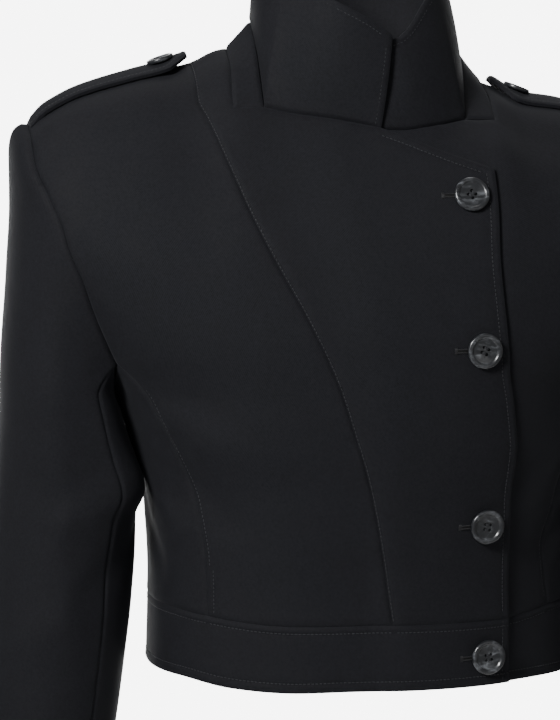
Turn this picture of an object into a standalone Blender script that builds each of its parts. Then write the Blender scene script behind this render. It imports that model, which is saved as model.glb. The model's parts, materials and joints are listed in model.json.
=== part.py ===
"""Cropped jacket, worn: an asymmetric lap with four buttons, a tall funnel collar,
squared shoulders with buttoned straps, two-piece sleeves and a hem band.

Metres, +Z up. The front faces -Y and the wearer's left is +X. The origin is in the
middle of the neck, level with the top of the shoulder beside it, which is where a
wearer holds the jacket up. The tables below are in millimetres and degrees.

The body is one smooth form. A place on it has a bearing round the body (0 at the
middle of the front, positive towards the wearer's left) and a depth, measured down
the cloth from the top of the shoulder. Seams are curves on that form, and each cut
piece is the cloth between its seams, drawn in a little from each of them.
"""

import math
from typing import NamedTuple

import bpy
import numpy as np
from mathutils import Matrix, Vector
from mathutils.geometry import delaunay_2d_cdt

MM = 0.001

# Driving sizes
CLOTH = 2.0 * MM
DOUBLED_CLOTH = 2.4 * MM
STRAP_THICKNESS = 3.0 * MM
SEAM_GAP = 0.34 * MM
RESTING_GAP = 0.3 * MM
LAP_LIFT = 3.6 * MM
CUFF_DROP = 660 * MM
SHOULDER_DROP = 25 * MM
LEFT_WIDER = 12 * MM
WIDENS_BELOW = 235 * MM
WIDENS_OVER = 110 * MM
FRONT_BUTTON_RADIUS = 12.5 * MM
STRAP_BUTTON_RADIUS = 10.0 * MM

# Fineness of the meshes
SEAM_STEP = 19 * MM
PANEL_STEP = 20 * MM
WIDTH_PER_DEGREE = 2.6 * MM
PROBE = 4 * MM


class Girth(NamedTuple):
    """One level of the body form, in millimetres."""
    depth: float
    drop: float
    half_width: float
    squareness: float
    front: float
    back: float


class Ridge(NamedTuple):
    """A point on the top line of the shoulder."""
    across: float
    height: float


class SleeveLevel(NamedTuple):
    """One level of a sleeve: distances from the middle of the body."""
    down: float
    inner: float
    outer: float
    front: float
    back: float
    squareness: float


class Fold(NamedTuple):
    """A soft ridge, or a trough where its height is negative."""
    bearing: float
    depth: float
    end_bearing: float
    end_depth: float
    half_width: float
    height: float


class Strap(NamedTuple):
    """A shoulder strap: distances from the middle of the body to its places."""
    word: str
    side: float
    start: float
    tip: float
    button: float
    tip_lift: float


class Collar(NamedTuple):
    """The top edge of the collar at one bearing round the neck."""
    bearing: float
    height: float
    radius: float


GIRTHS = [
    Girth(0, 0, 250, 3.2, 0, 0),
    Girth(32, -12, 251, 3.2, 30, 48),
    Girth(68, -38, 252, 3.1, 55, 76),
    Girth(99, -62, 252, 3.0, 74, 90),
    Girth(142, -100, 248, 2.9, 94, 105),
    Girth(196, -150, 229, 2.7, 113, 115),
    Girth(256, -210, 198, 2.5, 124, 116),
    Girth(294, -247, 174.5, 2.4, 125, 113),
    Girth(322, -275, 166.5, 2.4, 124, 109),
    Girth(365, -318, 153.5, 2.3, 120, 104),
    Girth(435, -388, 150, 2.3, 115, 101),
    Girth(480, -433, 151, 2.3, 115, 103),
    Girth(525, -478, 153, 2.3, 117, 105),
]

RIDGES = [
    Ridge(0, 0), Ridge(85, 0), Ridge(94, -0.5), Ridge(103, -3), Ridge(112.5, -8),
    Ridge(122, -11.5), Ridge(152, -16.3), Ridge(167, -20.3), Ridge(187.5, -26.2),
    Ridge(202.5, -31.5), Ridge(217.5, -39.3), Ridge(227.3, -45.5), Ridge(235.5, -53),
    Ridge(260, -80),
]
RIDGE_FADES_BY = -285 * MM

SLEEVE_LEVELS = [
    SleeveLevel(50, 180, 249.5, 58, 66, 2.0),
    SleeveLevel(110, 180, 249, 62, 69, 2.1),
    SleeveLevel(155, 180, 251.5, 66, 72, 2.2),
    SleeveLevel(235, 177.5, 257, 65, 68, 3.4),
    SleeveLevel(265, 171, 258, 63, 65, 4.2),
    SleeveLevel(290, 163.4, 259.5, 61, 62, 4.2),
    SleeveLevel(317, 156, 261, 58, 60, 3.8),
    SleeveLevel(334, 159.8, 262.5, 57, 59, 2.8),
    SleeveLevel(353, 160, 264.5, 56, 57, 2.3),
    SleeveLevel(398, 163.4, 267, 56, 52, 2.0),
    SleeveLevel(482, 175, 272, 57, 43, 2.0),
    SleeveLevel(560, 187, 278, 62, 32, 2.0),
    SleeveLevel(660, 197, 281, 70, 16, 2.0),
]
FRONT_SLEEVE_SEAM = 122.0
BACK_SLEEVE_SEAM = 238.0
CAP_LEVELS = [0.0, 0.1, 0.24, 0.42, 0.68]
CAP_ENDS_DOWN = 238 * MM
CAP_ENDS_LOWER_INSIDE = 30 * MM
CAP_ROLLS_OVER = 0.35
CAP_ROLLS_LONGER_INSIDE = 0.4
CAP_LEAVES_TOP = 32 * MM
CAP_LEAVES_INSIDE = 3 * MM
CAP_LEAVES_FORWARD = 20 * MM

BODY_FOLDS = [
    Fold(-66, 285, -34, 330, 16, 2.5),
    Fold(-60, 318, -40, 385, 15, -2.5),
    Fold(-84, 330, -58, 392, 15, 3.0),
    Fold(-100, 350, -70, 420, 14, -2.0),
    Fold(62, 300, 46, 372, 15, 3.0),
    Fold(72, 355, 50, 408, 13, -3.0),
    Fold(88, 346, 66, 406, 14, 2.0),
    Fold(128, 150, 140, 262, 20, -3.5),
    Fold(232, 150, 219, 262, 20, -3.5),
    Fold(135, 300, 168, 352, 18, 3.5),
    Fold(225, 296, 194, 360, 18, 3.0),
    Fold(150, 372, 205, 392, 17, -3.0),
]

SLEEVE_FOLDS = [
    Fold(150, 300, 75, 340, 18, 3.0),
    Fold(165, 345, 95, 392, 17, -2.5),
    Fold(100, 405, 20, 430, 20, 2.5),
    Fold(205, 330, 262, 372, 18, 3.0),
    Fold(215, 400, 285, 425, 18, -3.0),
    Fold(-60, 130, -35, 250, 22, -3.0),
]

STRAPS = [Strap("right", -1.0, 234, 119, 139, 5.0), Strap("left", 1.0, 234, 101, 122, 2.5)]

COLLAR_TOP = [
    Collar(-22, 2, 58), Collar(0, 4, 59.5), Collar(19, 9, 66), Collar(45, 46, 67),
    Collar(70, 64, 66), Collar(90, 72, 66), Collar(180, 76, 62), Collar(270, 72, 66),
    Collar(310, 55, 67), Collar(336, 37, 66), Collar(360, 22, 65), Collar(374, 10.5, 66),
]
COLLAR_ENDS = (-22.0, 374.0)
COLLAR_CORNERS = (52.0, 308.0)
COLLAR_ROWS = 8
COLLAR_BOW = 2.0 * MM
COLLAR_FORWARD = 3 * MM
STAND_RISE = 19 * MM
STAND_SLOPES_IN = 17.5 * MM
STAND_SLOPES_IN_MORE = 2.0 * MM
STAND_EASE = 4

# Seams on the body, each as (bearing, depth) along its length
SEAMS = {
    "right neck side": [(-20.5, 0), (-20.7, 35), (-21, 70)],
    "right neck corner": [(-21, 70), (-16.3, 70.5)],
    "right neck front": [(-16.3, 70.5), (-11, 78.5), (-4.8, 85), (1.8, 92)],
    "lap top": [(1.8, 92), (10.6, 108.5), (19.3, 124.5)],
    "lap edge": [(19.3, 124.5), (20.6, 185), (27, 266.5), (31.4, 295), (36.8, 366), (38, 453)],
    "lap edge of band": [(38, 453), (37.6, 499.5)],
    "right shoulder by neck": [(-20.5, 0), (-26, 0)],
    "right shoulder": [(-26, 0), (-58.5, 0)],
    "princess": [(-26, 0), (-26, 50), (-25, 69), (-23.4, 102.5), (-20.8, 148.5), (-18, 191),
                 (-14.5, 227.5), (-11.2, 262.5), (-8, 302), (-3.9, 345), (-0.5, 389),
                 (3.2, 451)],
    "right armhole front": [(-58.5, 0), (-56.8, 60), (-54.2, 96), (-52.2, 137), (-54.3, 185),
                            (-59.4, 236), (-62.7, 264)],
    "right underarm": [(-62.7, 264), (-75, 281), (-90, 287), (-105, 281), (-118, 264)],
    "right armhole back": [(-121.5, 0), (-124, 60), (-124.5, 130), (-122, 200), (-118, 264)],
    "right side front": [(-62.7, 264), (-58.3, 287), (-56, 314), (-54.2, 342), (-50.6, 383),
                         (-49.2, 407), (-49, 447.5)],
    "right side back": [(-118, 264), (-122, 300), (-126, 360), (-130, 447)],
    "band top at lap": [(38, 453), (21, 452), (3.2, 451)],
    "band top at right front": [(3.2, 451), (-24, 451.5), (-49, 447.5)],
    "band top at right side": [(-49, 447.5), (-66, 445.5), (-98, 446), (-130, 447)],
    "right band end": [(-130, 447), (-130, 497)],
    "right hem": [(37.6, 499.5), (-8, 498.5), (-24, 499.5), (-40, 498), (-60, 494),
                  (-99, 495.5), (-130, 497)],
    "left neck side": [(21.5, 0), (21.4, 28), (21.2, 60)],
    "left neck corner": [(21.2, 60), (16.3, 67.5)],
    "left neck front": [(16.3, 67.5), (11.8, 82), (5, 92), (-1.5, 91)],
    "left front edge": [(-1.5, 91), (3, 250), (12, 452.5)],
    "left front edge of band": [(12, 452.5), (12, 499)],
    "left shoulder": [(21.5, 0), (58.5, 0)],
    "left armhole front": [(58.5, 0), (56.8, 60), (54.2, 96), (52.2, 137), (54.3, 185),
                           (59.4, 236), (62.7, 264)],
    "left underarm": [(62.7, 264), (75, 281), (90, 287), (105, 281), (118, 264)],
    "left armhole back": [(121.5, 0), (124, 60), (124.5, 130), (122, 200), (118, 264)],
    "left side front": [(62.7, 264), (58.3, 287), (56, 330), (53.5, 380), (51.8, 415),
                        (54, 449)],
    "left side back": [(118, 264), (122, 300), (126, 360), (130, 447)],
    "band top at left front": [(12, 452.5), (39, 453), (54, 449)],
    "band top at left side": [(54, 449), (74, 447.5), (98, 447), (130, 447)],
    "left band end": [(130, 447), (130, 497)],
    "left hem": [(12, 499), (39, 499.5), (74, 502), (98, 500), (130, 497)],
    "left back neck": [(158.5, 0), (168, 28), (174.5, 36.5), (180, 39)],
    "right back neck": [(180, 39), (185.5, 36.5), (191, 28), (200.5, 0)],
    "centre back": [(180, 39), (180, 448.5)],
    "band top at left back": [(130, 447), (155, 448), (180, 448.5)],
    "band top at right back": [(180, 448.5), (205, 448), (230, 447)],
    "back hem": [(130, 497), (180, 499), (230, 497)],
}

# Cut pieces of the body: the seams round each, from one to the next
PANELS = {
    "right_front": ["right shoulder by neck", "right neck side", "right neck corner",
                    "right neck front", "lap top", "lap edge", "band top at lap", "princess"],
    "right_side_front": ["right shoulder", "princess", "band top at right front",
                         "right side front", "right armhole front"],
    "right_side": ["right side front", "band top at right side", "right side back",
                   "right underarm"],
    "left_front": ["left neck side", "left neck corner", "left neck front", "left front edge",
                   "band top at left front", "left side front", "left armhole front",
                   "left shoulder"],
    "left_side": ["left side front", "band top at left side", "left side back",
                  "left underarm"],
    "left_back": ["left back neck", "centre back", "band top at left back", "left side back",
                  "left armhole back", "left shoulder behind"],
    "right_back": ["right back neck", "right shoulder by neck behind", "right shoulder behind",
                   "right armhole back", "right side back", "band top at right back",
                   "centre back"],
    "right_band": ["lap edge of band", "right hem", "right band end",
                   "band top at right side", "band top at right front", "band top at lap"],
    "left_band": ["left front edge of band", "left hem", "left band end",
                  "band top at left side", "band top at left front"],
    "back_band": ["band top at left back", "band top at right back", "right band end",
                  "back hem", "left band end"],
}
LAPPING_PANELS = ("right_front", "right_side_front", "right_band")
LAP_RAMP = (-17.0, -5.0)
LAP_RAMP_TURN = 13.0

# Buttons on the lap as (bearing, depth)
FRONT_BUTTONS = [(15.4, 145.0), (20.3, 254.5), (28.7, 382.0), (30.0, 478.0)]

# Shoulder straps
STRAP_HALF_WIDTH = 20.5 * MM
STRAP_POINT = 16 * MM
STRAP_LIFTS_OVER = 34 * MM
STRAP_STANDS_OFF = 1.2 * MM

BLACK_CLOTH = ("black wool cloth", (0.012, 0.012, 0.014), 0.85)
BLACK_HORN = ("black horn button", (0.015, 0.016, 0.018), 0.22)


def smooth(value):
    """Zero up to 0, one from 1 on, and an even S between."""
    t = np.clip(value, 0.0, 1.0)
    return t * t * (3.0 - 2.0 * t)


def curve_through(xs, ys, at):
    """Read a curve that goes through a table's points and never overshoots them."""
    xs, ys, at = (np.asarray(v, dtype=float) for v in (xs, ys, at))
    step = np.diff(xs)
    slope = np.diff(ys) / step
    tangent = np.concatenate([slope[:1], np.zeros(len(xs) - 2), slope[-1:]])
    for k in range(1, len(xs) - 1):
        if slope[k - 1] * slope[k] > 0:
            before = 2 * step[k] + step[k - 1]
            after = step[k] + 2 * step[k - 1]
            tangent[k] = (before + after) / (before / slope[k - 1] + after / slope[k])
    k = np.clip(np.searchsorted(xs, at, side="right") - 1, 0, len(xs) - 2)
    t = (at - xs[k]) / step[k]
    start = (1 + 2 * t) * (1 - t) ** 2 * ys[k] + t * (1 - t) ** 2 * step[k] * tangent[k]
    end = t * t * (3 - 2 * t) * ys[k + 1] + t * t * (t - 1) * step[k] * tangent[k + 1]
    return start + end


def column(table, name, at, scale=MM):
    """Read one named column of a table at places in its first column."""
    keys = [row[0] * scale for row in table]
    values = [getattr(row, name) * (1.0 if name == "squareness" else MM) for row in table]
    return curve_through(keys, values, at)


def fold_height(folds, bearing, depth):
    """Add up the folds at a bearing in degrees and a depth."""
    bearing = np.asarray(bearing, dtype=float)
    total = np.zeros(np.broadcast(bearing, depth).shape)
    for fold in folds:
        start = np.array([fold.bearing * WIDTH_PER_DEGREE, fold.depth * MM])
        run = np.array([fold.end_bearing * WIDTH_PER_DEGREE, fold.end_depth * MM]) - start
        middle = 0.5 * (fold.bearing + fold.end_bearing)
        turned = middle + (bearing - middle + 180.0) % 360.0 - 180.0
        right = turned * WIDTH_PER_DEGREE - start[0]
        down = depth - start[1]
        along = (right * run[0] + down * run[1]) / (run @ run)
        aside = (right * run[1] - down * run[0]) / math.sqrt(run @ run)
        window = smooth(along / 0.3 + 0.5) * smooth((1.0 - along) / 0.3 + 0.5)
        total += fold.height * MM * window * np.exp(-(aside / (fold.half_width * MM)) ** 2)
    return total


def settled(points):
    """Lower the wearer's left shoulder and widen the left waist, as the jacket is worn."""
    out = np.array(points, dtype=float)
    across, height = out[..., 0], out[..., 2]
    above = height - column(RIDGES, "height", np.abs(across))
    reach = 90 * MM + 0.9 * np.clip(across - 100 * MM, 0.0, 200 * MM)
    share = smooth((across - 20 * MM) / (75 * MM)) * smooth(1.0 + above / reach)
    out[..., 2] = height - SHOULDER_DROP * share
    lower = smooth((-height - WIDENS_BELOW) / WIDENS_OVER)
    out[..., 0] += LEFT_WIDER * lower * smooth((across - 100 * MM) / (50 * MM))
    return out


def shoulder_depth(across, drop):
    """How much deeper than the body's own curve the squared shoulder is."""
    return 1 + 0.6 * np.exp(drop / (50 * MM)) * smooth((across - 100 * MM) / (130 * MM))


def body(bearing, depth):
    """A point of the body form, before it settles. A depth below 0 is over the ridge."""
    bearing = np.asarray(bearing, dtype=float)
    depth = np.asarray(depth, dtype=float)
    bearing = np.where(depth < 0, 180.0 - bearing, bearing)
    depth = np.abs(depth)
    turn = np.radians(bearing)
    drop = column(GIRTHS, "drop", depth)
    power = column(GIRTHS, "squareness", depth)
    side, ahead = np.sin(turn), np.cos(turn)
    radius = (np.abs(side) ** power + np.abs(ahead) ** power) ** (-1.0 / power)
    half_depth = np.where(ahead > 0, column(GIRTHS, "front", depth), column(GIRTHS, "back", depth))
    x = column(GIRTHS, "half_width", depth) * radius * side
    y = -half_depth * shoulder_depth(np.abs(x), drop) * radius * ahead
    fade = smooth((drop - RIDGE_FADES_BY) / -RIDGE_FADES_BY)
    z = drop + column(RIDGES, "height", np.abs(x)) * fade
    fold = fold_height(BODY_FOLDS, bearing, depth)
    outward = np.stack([x, y * 1.6, 0 * z], axis=-1)
    outward /= np.maximum(np.linalg.norm(outward, axis=-1, keepdims=True), 1e-9)
    return np.stack([x, y, z], axis=-1) + outward * fold[..., None]


def body_point(bearing, depth):
    """A point of the body form as worn."""
    return settled(body(bearing, depth))


def facing(surface, first, second, first_step, second_step):
    """Outward direction of a surface, from points either side of each place."""
    along = surface(first + first_step, second) - surface(first - first_step, second)
    down = surface(first, second + second_step) - surface(first, second - second_step)
    normal = np.cross(down, along)
    return normal / np.linalg.norm(normal, axis=-1, keepdims=True)


def body_facing(bearing, depth):
    """Outward direction of the body form."""
    return facing(body_point, bearing, depth, PROBE / WIDTH_PER_DEGREE, PROBE)


def lap_lift(bearing, depth):
    """How far the lapping side stands off, so that it clears the front beneath it."""
    turn = LAP_RAMP_TURN * np.clip((depth - 92 * MM) / (360 * MM), 0.0, 1.0)
    return LAP_LIFT * smooth((bearing - LAP_RAMP[0] - turn) / (LAP_RAMP[1] - LAP_RAMP[0]))


def lapped_point(bearing, depth):
    """A point of the lapping side."""
    lift = lap_lift(bearing, depth)
    return body_point(bearing, depth) + body_facing(bearing, depth) * lift[..., None]


def walk(points, step):
    """Even steps along a smooth curve through a few flat points."""
    points = np.asarray(points, dtype=float)
    if len(points) == 2:
        fine = np.linspace(points[0], points[1], 33)
    else:
        gaps = np.linalg.norm(np.diff(points, axis=0), axis=1)
        stations = np.concatenate([[0.0], np.cumsum(gaps)])
        at = np.linspace(0.0, stations[-1], 40 * len(points))
        fine = np.stack([curve_through(stations, points[:, k], at) for k in (0, 1)], axis=-1)
    run = np.concatenate([[0.0], np.cumsum(np.linalg.norm(np.diff(fine, axis=0), axis=1))])
    count = max(1, round(run[-1] / step))
    at = np.linspace(0.0, run[-1], count + 1)
    return np.stack([np.interp(at, run, fine[:, k]) for k in (0, 1)], axis=-1)


def flat(rows):
    """Bearing and depth rows as flat lengths in metres."""
    return [(bearing * WIDTH_PER_DEGREE, depth * MM) for bearing, depth in rows]


def make_seams():
    """Every seam as flat points. A shoulder seam is the same line seen from behind."""
    seams = {name: walk(flat(rows), SEAM_STEP) for name, rows in SEAMS.items()}
    for name in ("right shoulder by neck", "right shoulder", "left shoulder"):
        mirrored = seams[name].copy()
        mirrored[:, 0] = 180.0 * WIDTH_PER_DEGREE - mirrored[:, 0]
        seams[name + " behind"] = mirrored
    return seams


def joined(seams, names):
    """The closed outline that a list of seams makes, one point at each place."""
    full_turn = 360.0 * WIDTH_PER_DEGREE
    legs = [seams[name] for name in names]
    if any(leg[:, 0].max() > 185.0 * WIDTH_PER_DEGREE for leg in legs):
        legs = [np.where([[leg[:, 0].min() < 0, False]], leg + [full_turn, 0], leg) for leg in legs]
    first, second = legs[0], legs[1]
    ends = [np.linalg.norm(first[-1] - second[k]) for k in (0, -1)]
    if min(ends) > 0.5 * MM:
        legs[0] = first[::-1]
    outline = [legs[0]]
    for leg in legs[1:]:
        tail = outline[-1][-1]
        if np.linalg.norm(leg[0] - tail) > np.linalg.norm(leg[-1] - tail):
            leg = leg[::-1]
        outline.append(leg)
    points = np.concatenate([leg[:-1] for leg in outline])
    area = np.sum(points[:, 0] * np.roll(points[:, 1], -1) - np.roll(points[:, 0], -1) * points[:, 1])
    return points if area < 0 else points[::-1]


def inside(outline, places):
    """Which places lie inside a closed outline."""
    result = np.zeros(len(places), dtype=bool)
    for start, end in zip(outline, np.roll(outline, -1, axis=0)):
        crosses = (start[1] > places[:, 1]) != (end[1] > places[:, 1])
        rise = end[1] - start[1] if end[1] != start[1] else 1.0
        at = start[0] + (places[:, 1] - start[1]) * (end[0] - start[0]) / rise
        result ^= crosses & (places[:, 0] < at)
    return result


def filled(outline, step):
    """Triangles over an outline: its own points first, then rows of inner points."""
    low, high = outline.min(axis=0), outline.max(axis=0)
    rows = []
    for k, down in enumerate(np.arange(low[1] + 0.5 * step, high[1], 0.87 * step)):
        right = np.arange(low[0] + (0.25 + 0.5 * (k % 2)) * step, high[0], step)
        rows.append(np.stack([right, np.full(len(right), down)], axis=-1))
    grid = np.concatenate(rows)
    grid = grid[inside(outline, grid)]
    ends = np.roll(outline, -1, axis=0)
    run = ends - outline
    share = np.clip(np.sum((grid[:, None] - outline) * run, axis=-1) / np.sum(run * run, axis=-1), 0, 1)
    nearest = np.linalg.norm(grid[:, None] - outline - share[..., None] * run, axis=-1).min(axis=1)
    grid = grid[nearest > 0.55 * step]
    places = np.concatenate([outline, grid])
    rim = list(range(len(outline)))
    made = delaunay_2d_cdt([Vector(p) for p in places], [], [rim], 1, 1e-7)
    order = {k: old[0] for k, old in enumerate(made[3]) if old}
    triangles = [tuple(order[k] for k in reversed(face)) for face in made[2]]
    return places, triangles, rim


def drawn_in(points, normals, rim, distance):
    """Draw a rim in from its seam, within the cloth."""
    out = points.copy()
    here = points[rim]
    before = here - np.roll(here, 1, axis=0)
    after = np.roll(here, -1, axis=0) - here
    inward = []
    for leg in (before, after):
        side = np.cross(normals[rim], leg)
        inward.append(side / np.linalg.norm(side, axis=-1, keepdims=True))
    meeting = 1.0 + np.sum(inward[0] * inward[1], axis=-1, keepdims=True)
    out[rim] = here + distance * (inward[0] + inward[1]) / np.maximum(meeting, 0.35)
    return out


def make_wall(name, points, normals, faces, rim, thickness, materials):
    """A closed wall of cloth: its outer points, the same points moved in, and its edge."""
    outer = drawn_in(points, normals, rim, 0.5 * SEAM_GAP)
    inner = outer - normals * thickness
    count = len(outer)
    skin = [tuple(face) for face in faces]
    lining = [tuple(k + count for k in reversed(face)) for face in skin]
    edge = [(b, a, a + count, b + count) for a, b in zip(rim, rim[1:] + rim[:1])]
    mesh = bpy.data.meshes.new(name)
    mesh.from_pydata(np.concatenate([outer, inner]).tolist(), [], skin + lining + edge)
    mesh.validate()
    return place(name, mesh, materials)


def place(name, mesh, materials):
    """Put a mesh in the jacket's collection, with a material of its own."""
    title, colour, roughness = materials
    material = bpy.data.materials.new(f"{name} {title}")
    material.use_nodes = True
    shader = material.node_tree.nodes["Principled BSDF"]
    shader.inputs["Base Color"].default_value = (*colour, 1.0)
    shader.inputs["Roughness"].default_value = roughness
    shader.inputs["Metallic"].default_value = 0.0
    piece = bpy.data.objects.new(name, mesh)
    piece.data.materials.clear()
    piece.data.materials.append(material)
    bpy.data.collections["cropped jacket"].objects.link(piece)
    return piece


def make_panel(name, seams):
    """One cut piece of the body or of the hem band."""
    outline = joined(seams, PANELS[name])
    places, faces, rim = filled(outline, PANEL_STEP)
    bearing, depth = places[:, 0] / WIDTH_PER_DEGREE, places[:, 1]
    lapping = name in LAPPING_PANELS
    points = lapped_point(bearing, depth) if lapping else body_point(bearing, depth)
    normals = body_facing(bearing, depth)
    thickness = DOUBLED_CLOTH if "band" in name else CLOTH
    make_wall(name, points, normals, faces, rim, thickness, BLACK_CLOTH)


def make_strip(name, surface, columns, rows, thickness, steps, hand=1.0):
    """A piece whose points stand in columns and rows of a surface. A hand of -1 turns it over."""
    across, down = np.meshgrid(columns, rows, indexing="ij")
    points = surface(across, down)
    normals = hand * facing(surface, across, down, *steps)
    wide, tall = points.shape[:2]
    index = np.arange(wide * tall).reshape(wide, tall)
    faces = [
        (index[a, b], index[a, b + 1], index[a + 1, b + 1], index[a + 1, b])
        for a in range(wide - 1) for b in range(tall - 1)
    ]
    rim = [*index[0, :], *index[1:, -1], *index[-1, -2::-1], *index[-2:0:-1, 0]]
    points, normals = points.reshape(-1, 3), normals.reshape(-1, 3)
    towards = np.cross(points[faces[0][1]] - points[faces[0][0]], points[faces[0][3]] - points[faces[0][0]])
    if towards @ normals[faces[0][0]] < 0:
        faces = [tuple(reversed(face)) for face in faces]
        rim = rim[::-1]
    rim = [int(k) for k in rim]
    faces = [tuple(int(k) for k in face) for face in faces]
    make_wall(name, points, normals, faces, rim, thickness, BLACK_CLOTH)


def track(points):
    """Read a row of points anywhere along it, by number, and past its ends in line."""
    points = np.asarray(points, dtype=float)

    def read(at):
        k = np.clip(np.floor(at).astype(int), 0, len(points) - 2)
        share = (at - k)[..., None]
        return points[k] * (1 - share) + points[k + 1] * share

    return read


def seam_points(seams, *names, surface=body):
    """A seam's points on the body form, before it settles."""
    legs = [seams[name] for name in names]
    legs = [leg if k == len(legs) - 1 else leg[:-1] for k, leg in enumerate(legs)]
    places = np.concatenate(legs)
    return surface(places[:, 0] / WIDTH_PER_DEGREE, places[:, 1])


def sleeve_tube(side, angle, down):
    """The sleeve below its cap. An angle of 0 is the outer side and 90 the front."""
    turn = np.radians(angle)
    inner, outer, front, back = (
        column(SLEEVE_LEVELS, name, down) for name in ("inner", "outer", "front", "back")
    )
    half_width = 0.5 * (outer - inner)
    half_depth = 0.5 * (front + back)
    fold = fold_height(SLEEVE_FOLDS, angle, down)
    side_on, ahead = np.cos(turn), np.sin(turn)
    power = np.where(side_on < 0, column(SLEEVE_LEVELS, "squareness", down), 2.0)
    radius = (np.abs(side_on) ** power + np.abs(ahead) ** power) ** (-1.0 / power)
    reach = radius + fold / half_depth
    x = 0.5 * (inner + outer) + half_width * reach * side_on
    y = 0.5 * (back - front) - half_depth * reach * ahead
    return np.stack([side * x, y, -down], axis=-1)


def sleeve_surface(side, loop, angles):
    """The cloth of a sleeve, from its armhole loop over a rounded cap and down to the cuff."""
    count = len(loop)
    start_at = track(np.concatenate([loop, loop, loop]))
    angle_at = track(np.concatenate([angles - 360.0, angles, angles + 360.0])[:, None])

    def surface(number, level):
        start = start_at(number + count)
        angle = angle_at(number + count)[..., 0]
        inside_arm = 0.5 * (1 - np.cos(np.radians(angle)))
        cap_end = CAP_ENDS_DOWN + CAP_ENDS_LOWER_INSIDE * inside_arm
        share = np.clip(level, 0.0, 1.0)
        fall = (cap_end + start[..., 2]) * share ** (2.0 - inside_arm)
        below = np.maximum(level - 1.0, 0.0) * (CUFF_DROP - cap_end)
        tube = sleeve_tube(side, angle, fall - start[..., 2] + below)
        rolled = np.clip(share / (CAP_ROLLS_OVER + CAP_ROLLS_LONGER_INSIDE * inside_arm), 0.0, 1.0)
        leave = np.stack([
            side * (CAP_LEAVES_TOP * (1.0 - inside_arm) ** 2 + CAP_LEAVES_INSIDE * inside_arm),
            -CAP_LEAVES_FORWARD * np.sin(np.radians(angle)) * (1.0 - inside_arm),
            np.zeros_like(rolled),
        ], axis=-1)
        r = rolled[..., None]
        cap = start * (1 + 2 * r) * (1 - r) ** 2 + leave * r * (1 - r) ** 2 + tube * r * r * (3 - 2 * r)
        cap[..., 2] = tube[..., 2]
        return settled(cap)

    return surface


def spread(points, start, end):
    """Angles from start to end, in step with the distance along some points."""
    run = np.concatenate([[0.0], np.cumsum(np.linalg.norm(np.diff(points, axis=0), axis=1))])
    return start + (end - start) * run / run[-1]


def make_sleeve(side, word, seams):
    """Upper and under sleeve, which meet at the front and back seams of the arm."""
    front = seam_points(seams, f"{word} armhole front")
    under = seam_points(seams, f"{word} underarm")
    back = seam_points(seams, f"{word} armhole back")[::-1]
    loop = np.concatenate([front[:-1], under[:-1], back[:-1]])
    angles = np.concatenate([
        spread(front, 0.0, FRONT_SLEEVE_SEAM)[:-1],
        spread(under, FRONT_SLEEVE_SEAM, BACK_SLEEVE_SEAM)[:-1],
        spread(back, BACK_SLEEVE_SEAM, 360.0)[:-1],
    ])
    surface = sleeve_surface(side, loop, angles)
    front_seam = len(front) - 1
    back_seam = front_seam + len(under) - 1
    columns = {
        "upper": np.arange(back_seam - len(loop), front_seam + 1),
        "under": np.arange(front_seam, back_seam + 1),
    }
    levels = np.concatenate([CAP_LEVELS, np.linspace(1.0, 2.0, 13)])
    for name, numbers in columns.items():
        make_strip(f"{word}_{name}_sleeve", surface, numbers.astype(float), levels, CLOTH,
                   (0.5, 0.012), -side)


def stand_top(start):
    """The line where the stand meets the collar, from the line where it meets the neck."""
    ahead = smooth(-start[..., 1] / (56 * MM))
    rise = STAND_RISE * (1.0 - ahead)
    draw = STAND_SLOPES_IN + STAND_SLOPES_IN_MORE * ahead
    radial = np.stack([start[..., 0], 0.9 * np.maximum(start[..., 1], 0.0), 0 * rise], axis=-1)
    radial /= np.maximum(np.linalg.norm(radial, axis=-1, keepdims=True), 1e-9)
    back_share = np.clip(start[..., 1:2] / (50 * MM), 0.0, 1.0)
    moved = start - radial * (draw[..., None] * (1 - 0.3 * back_share))
    moved[..., 2] += rise
    return moved


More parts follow.
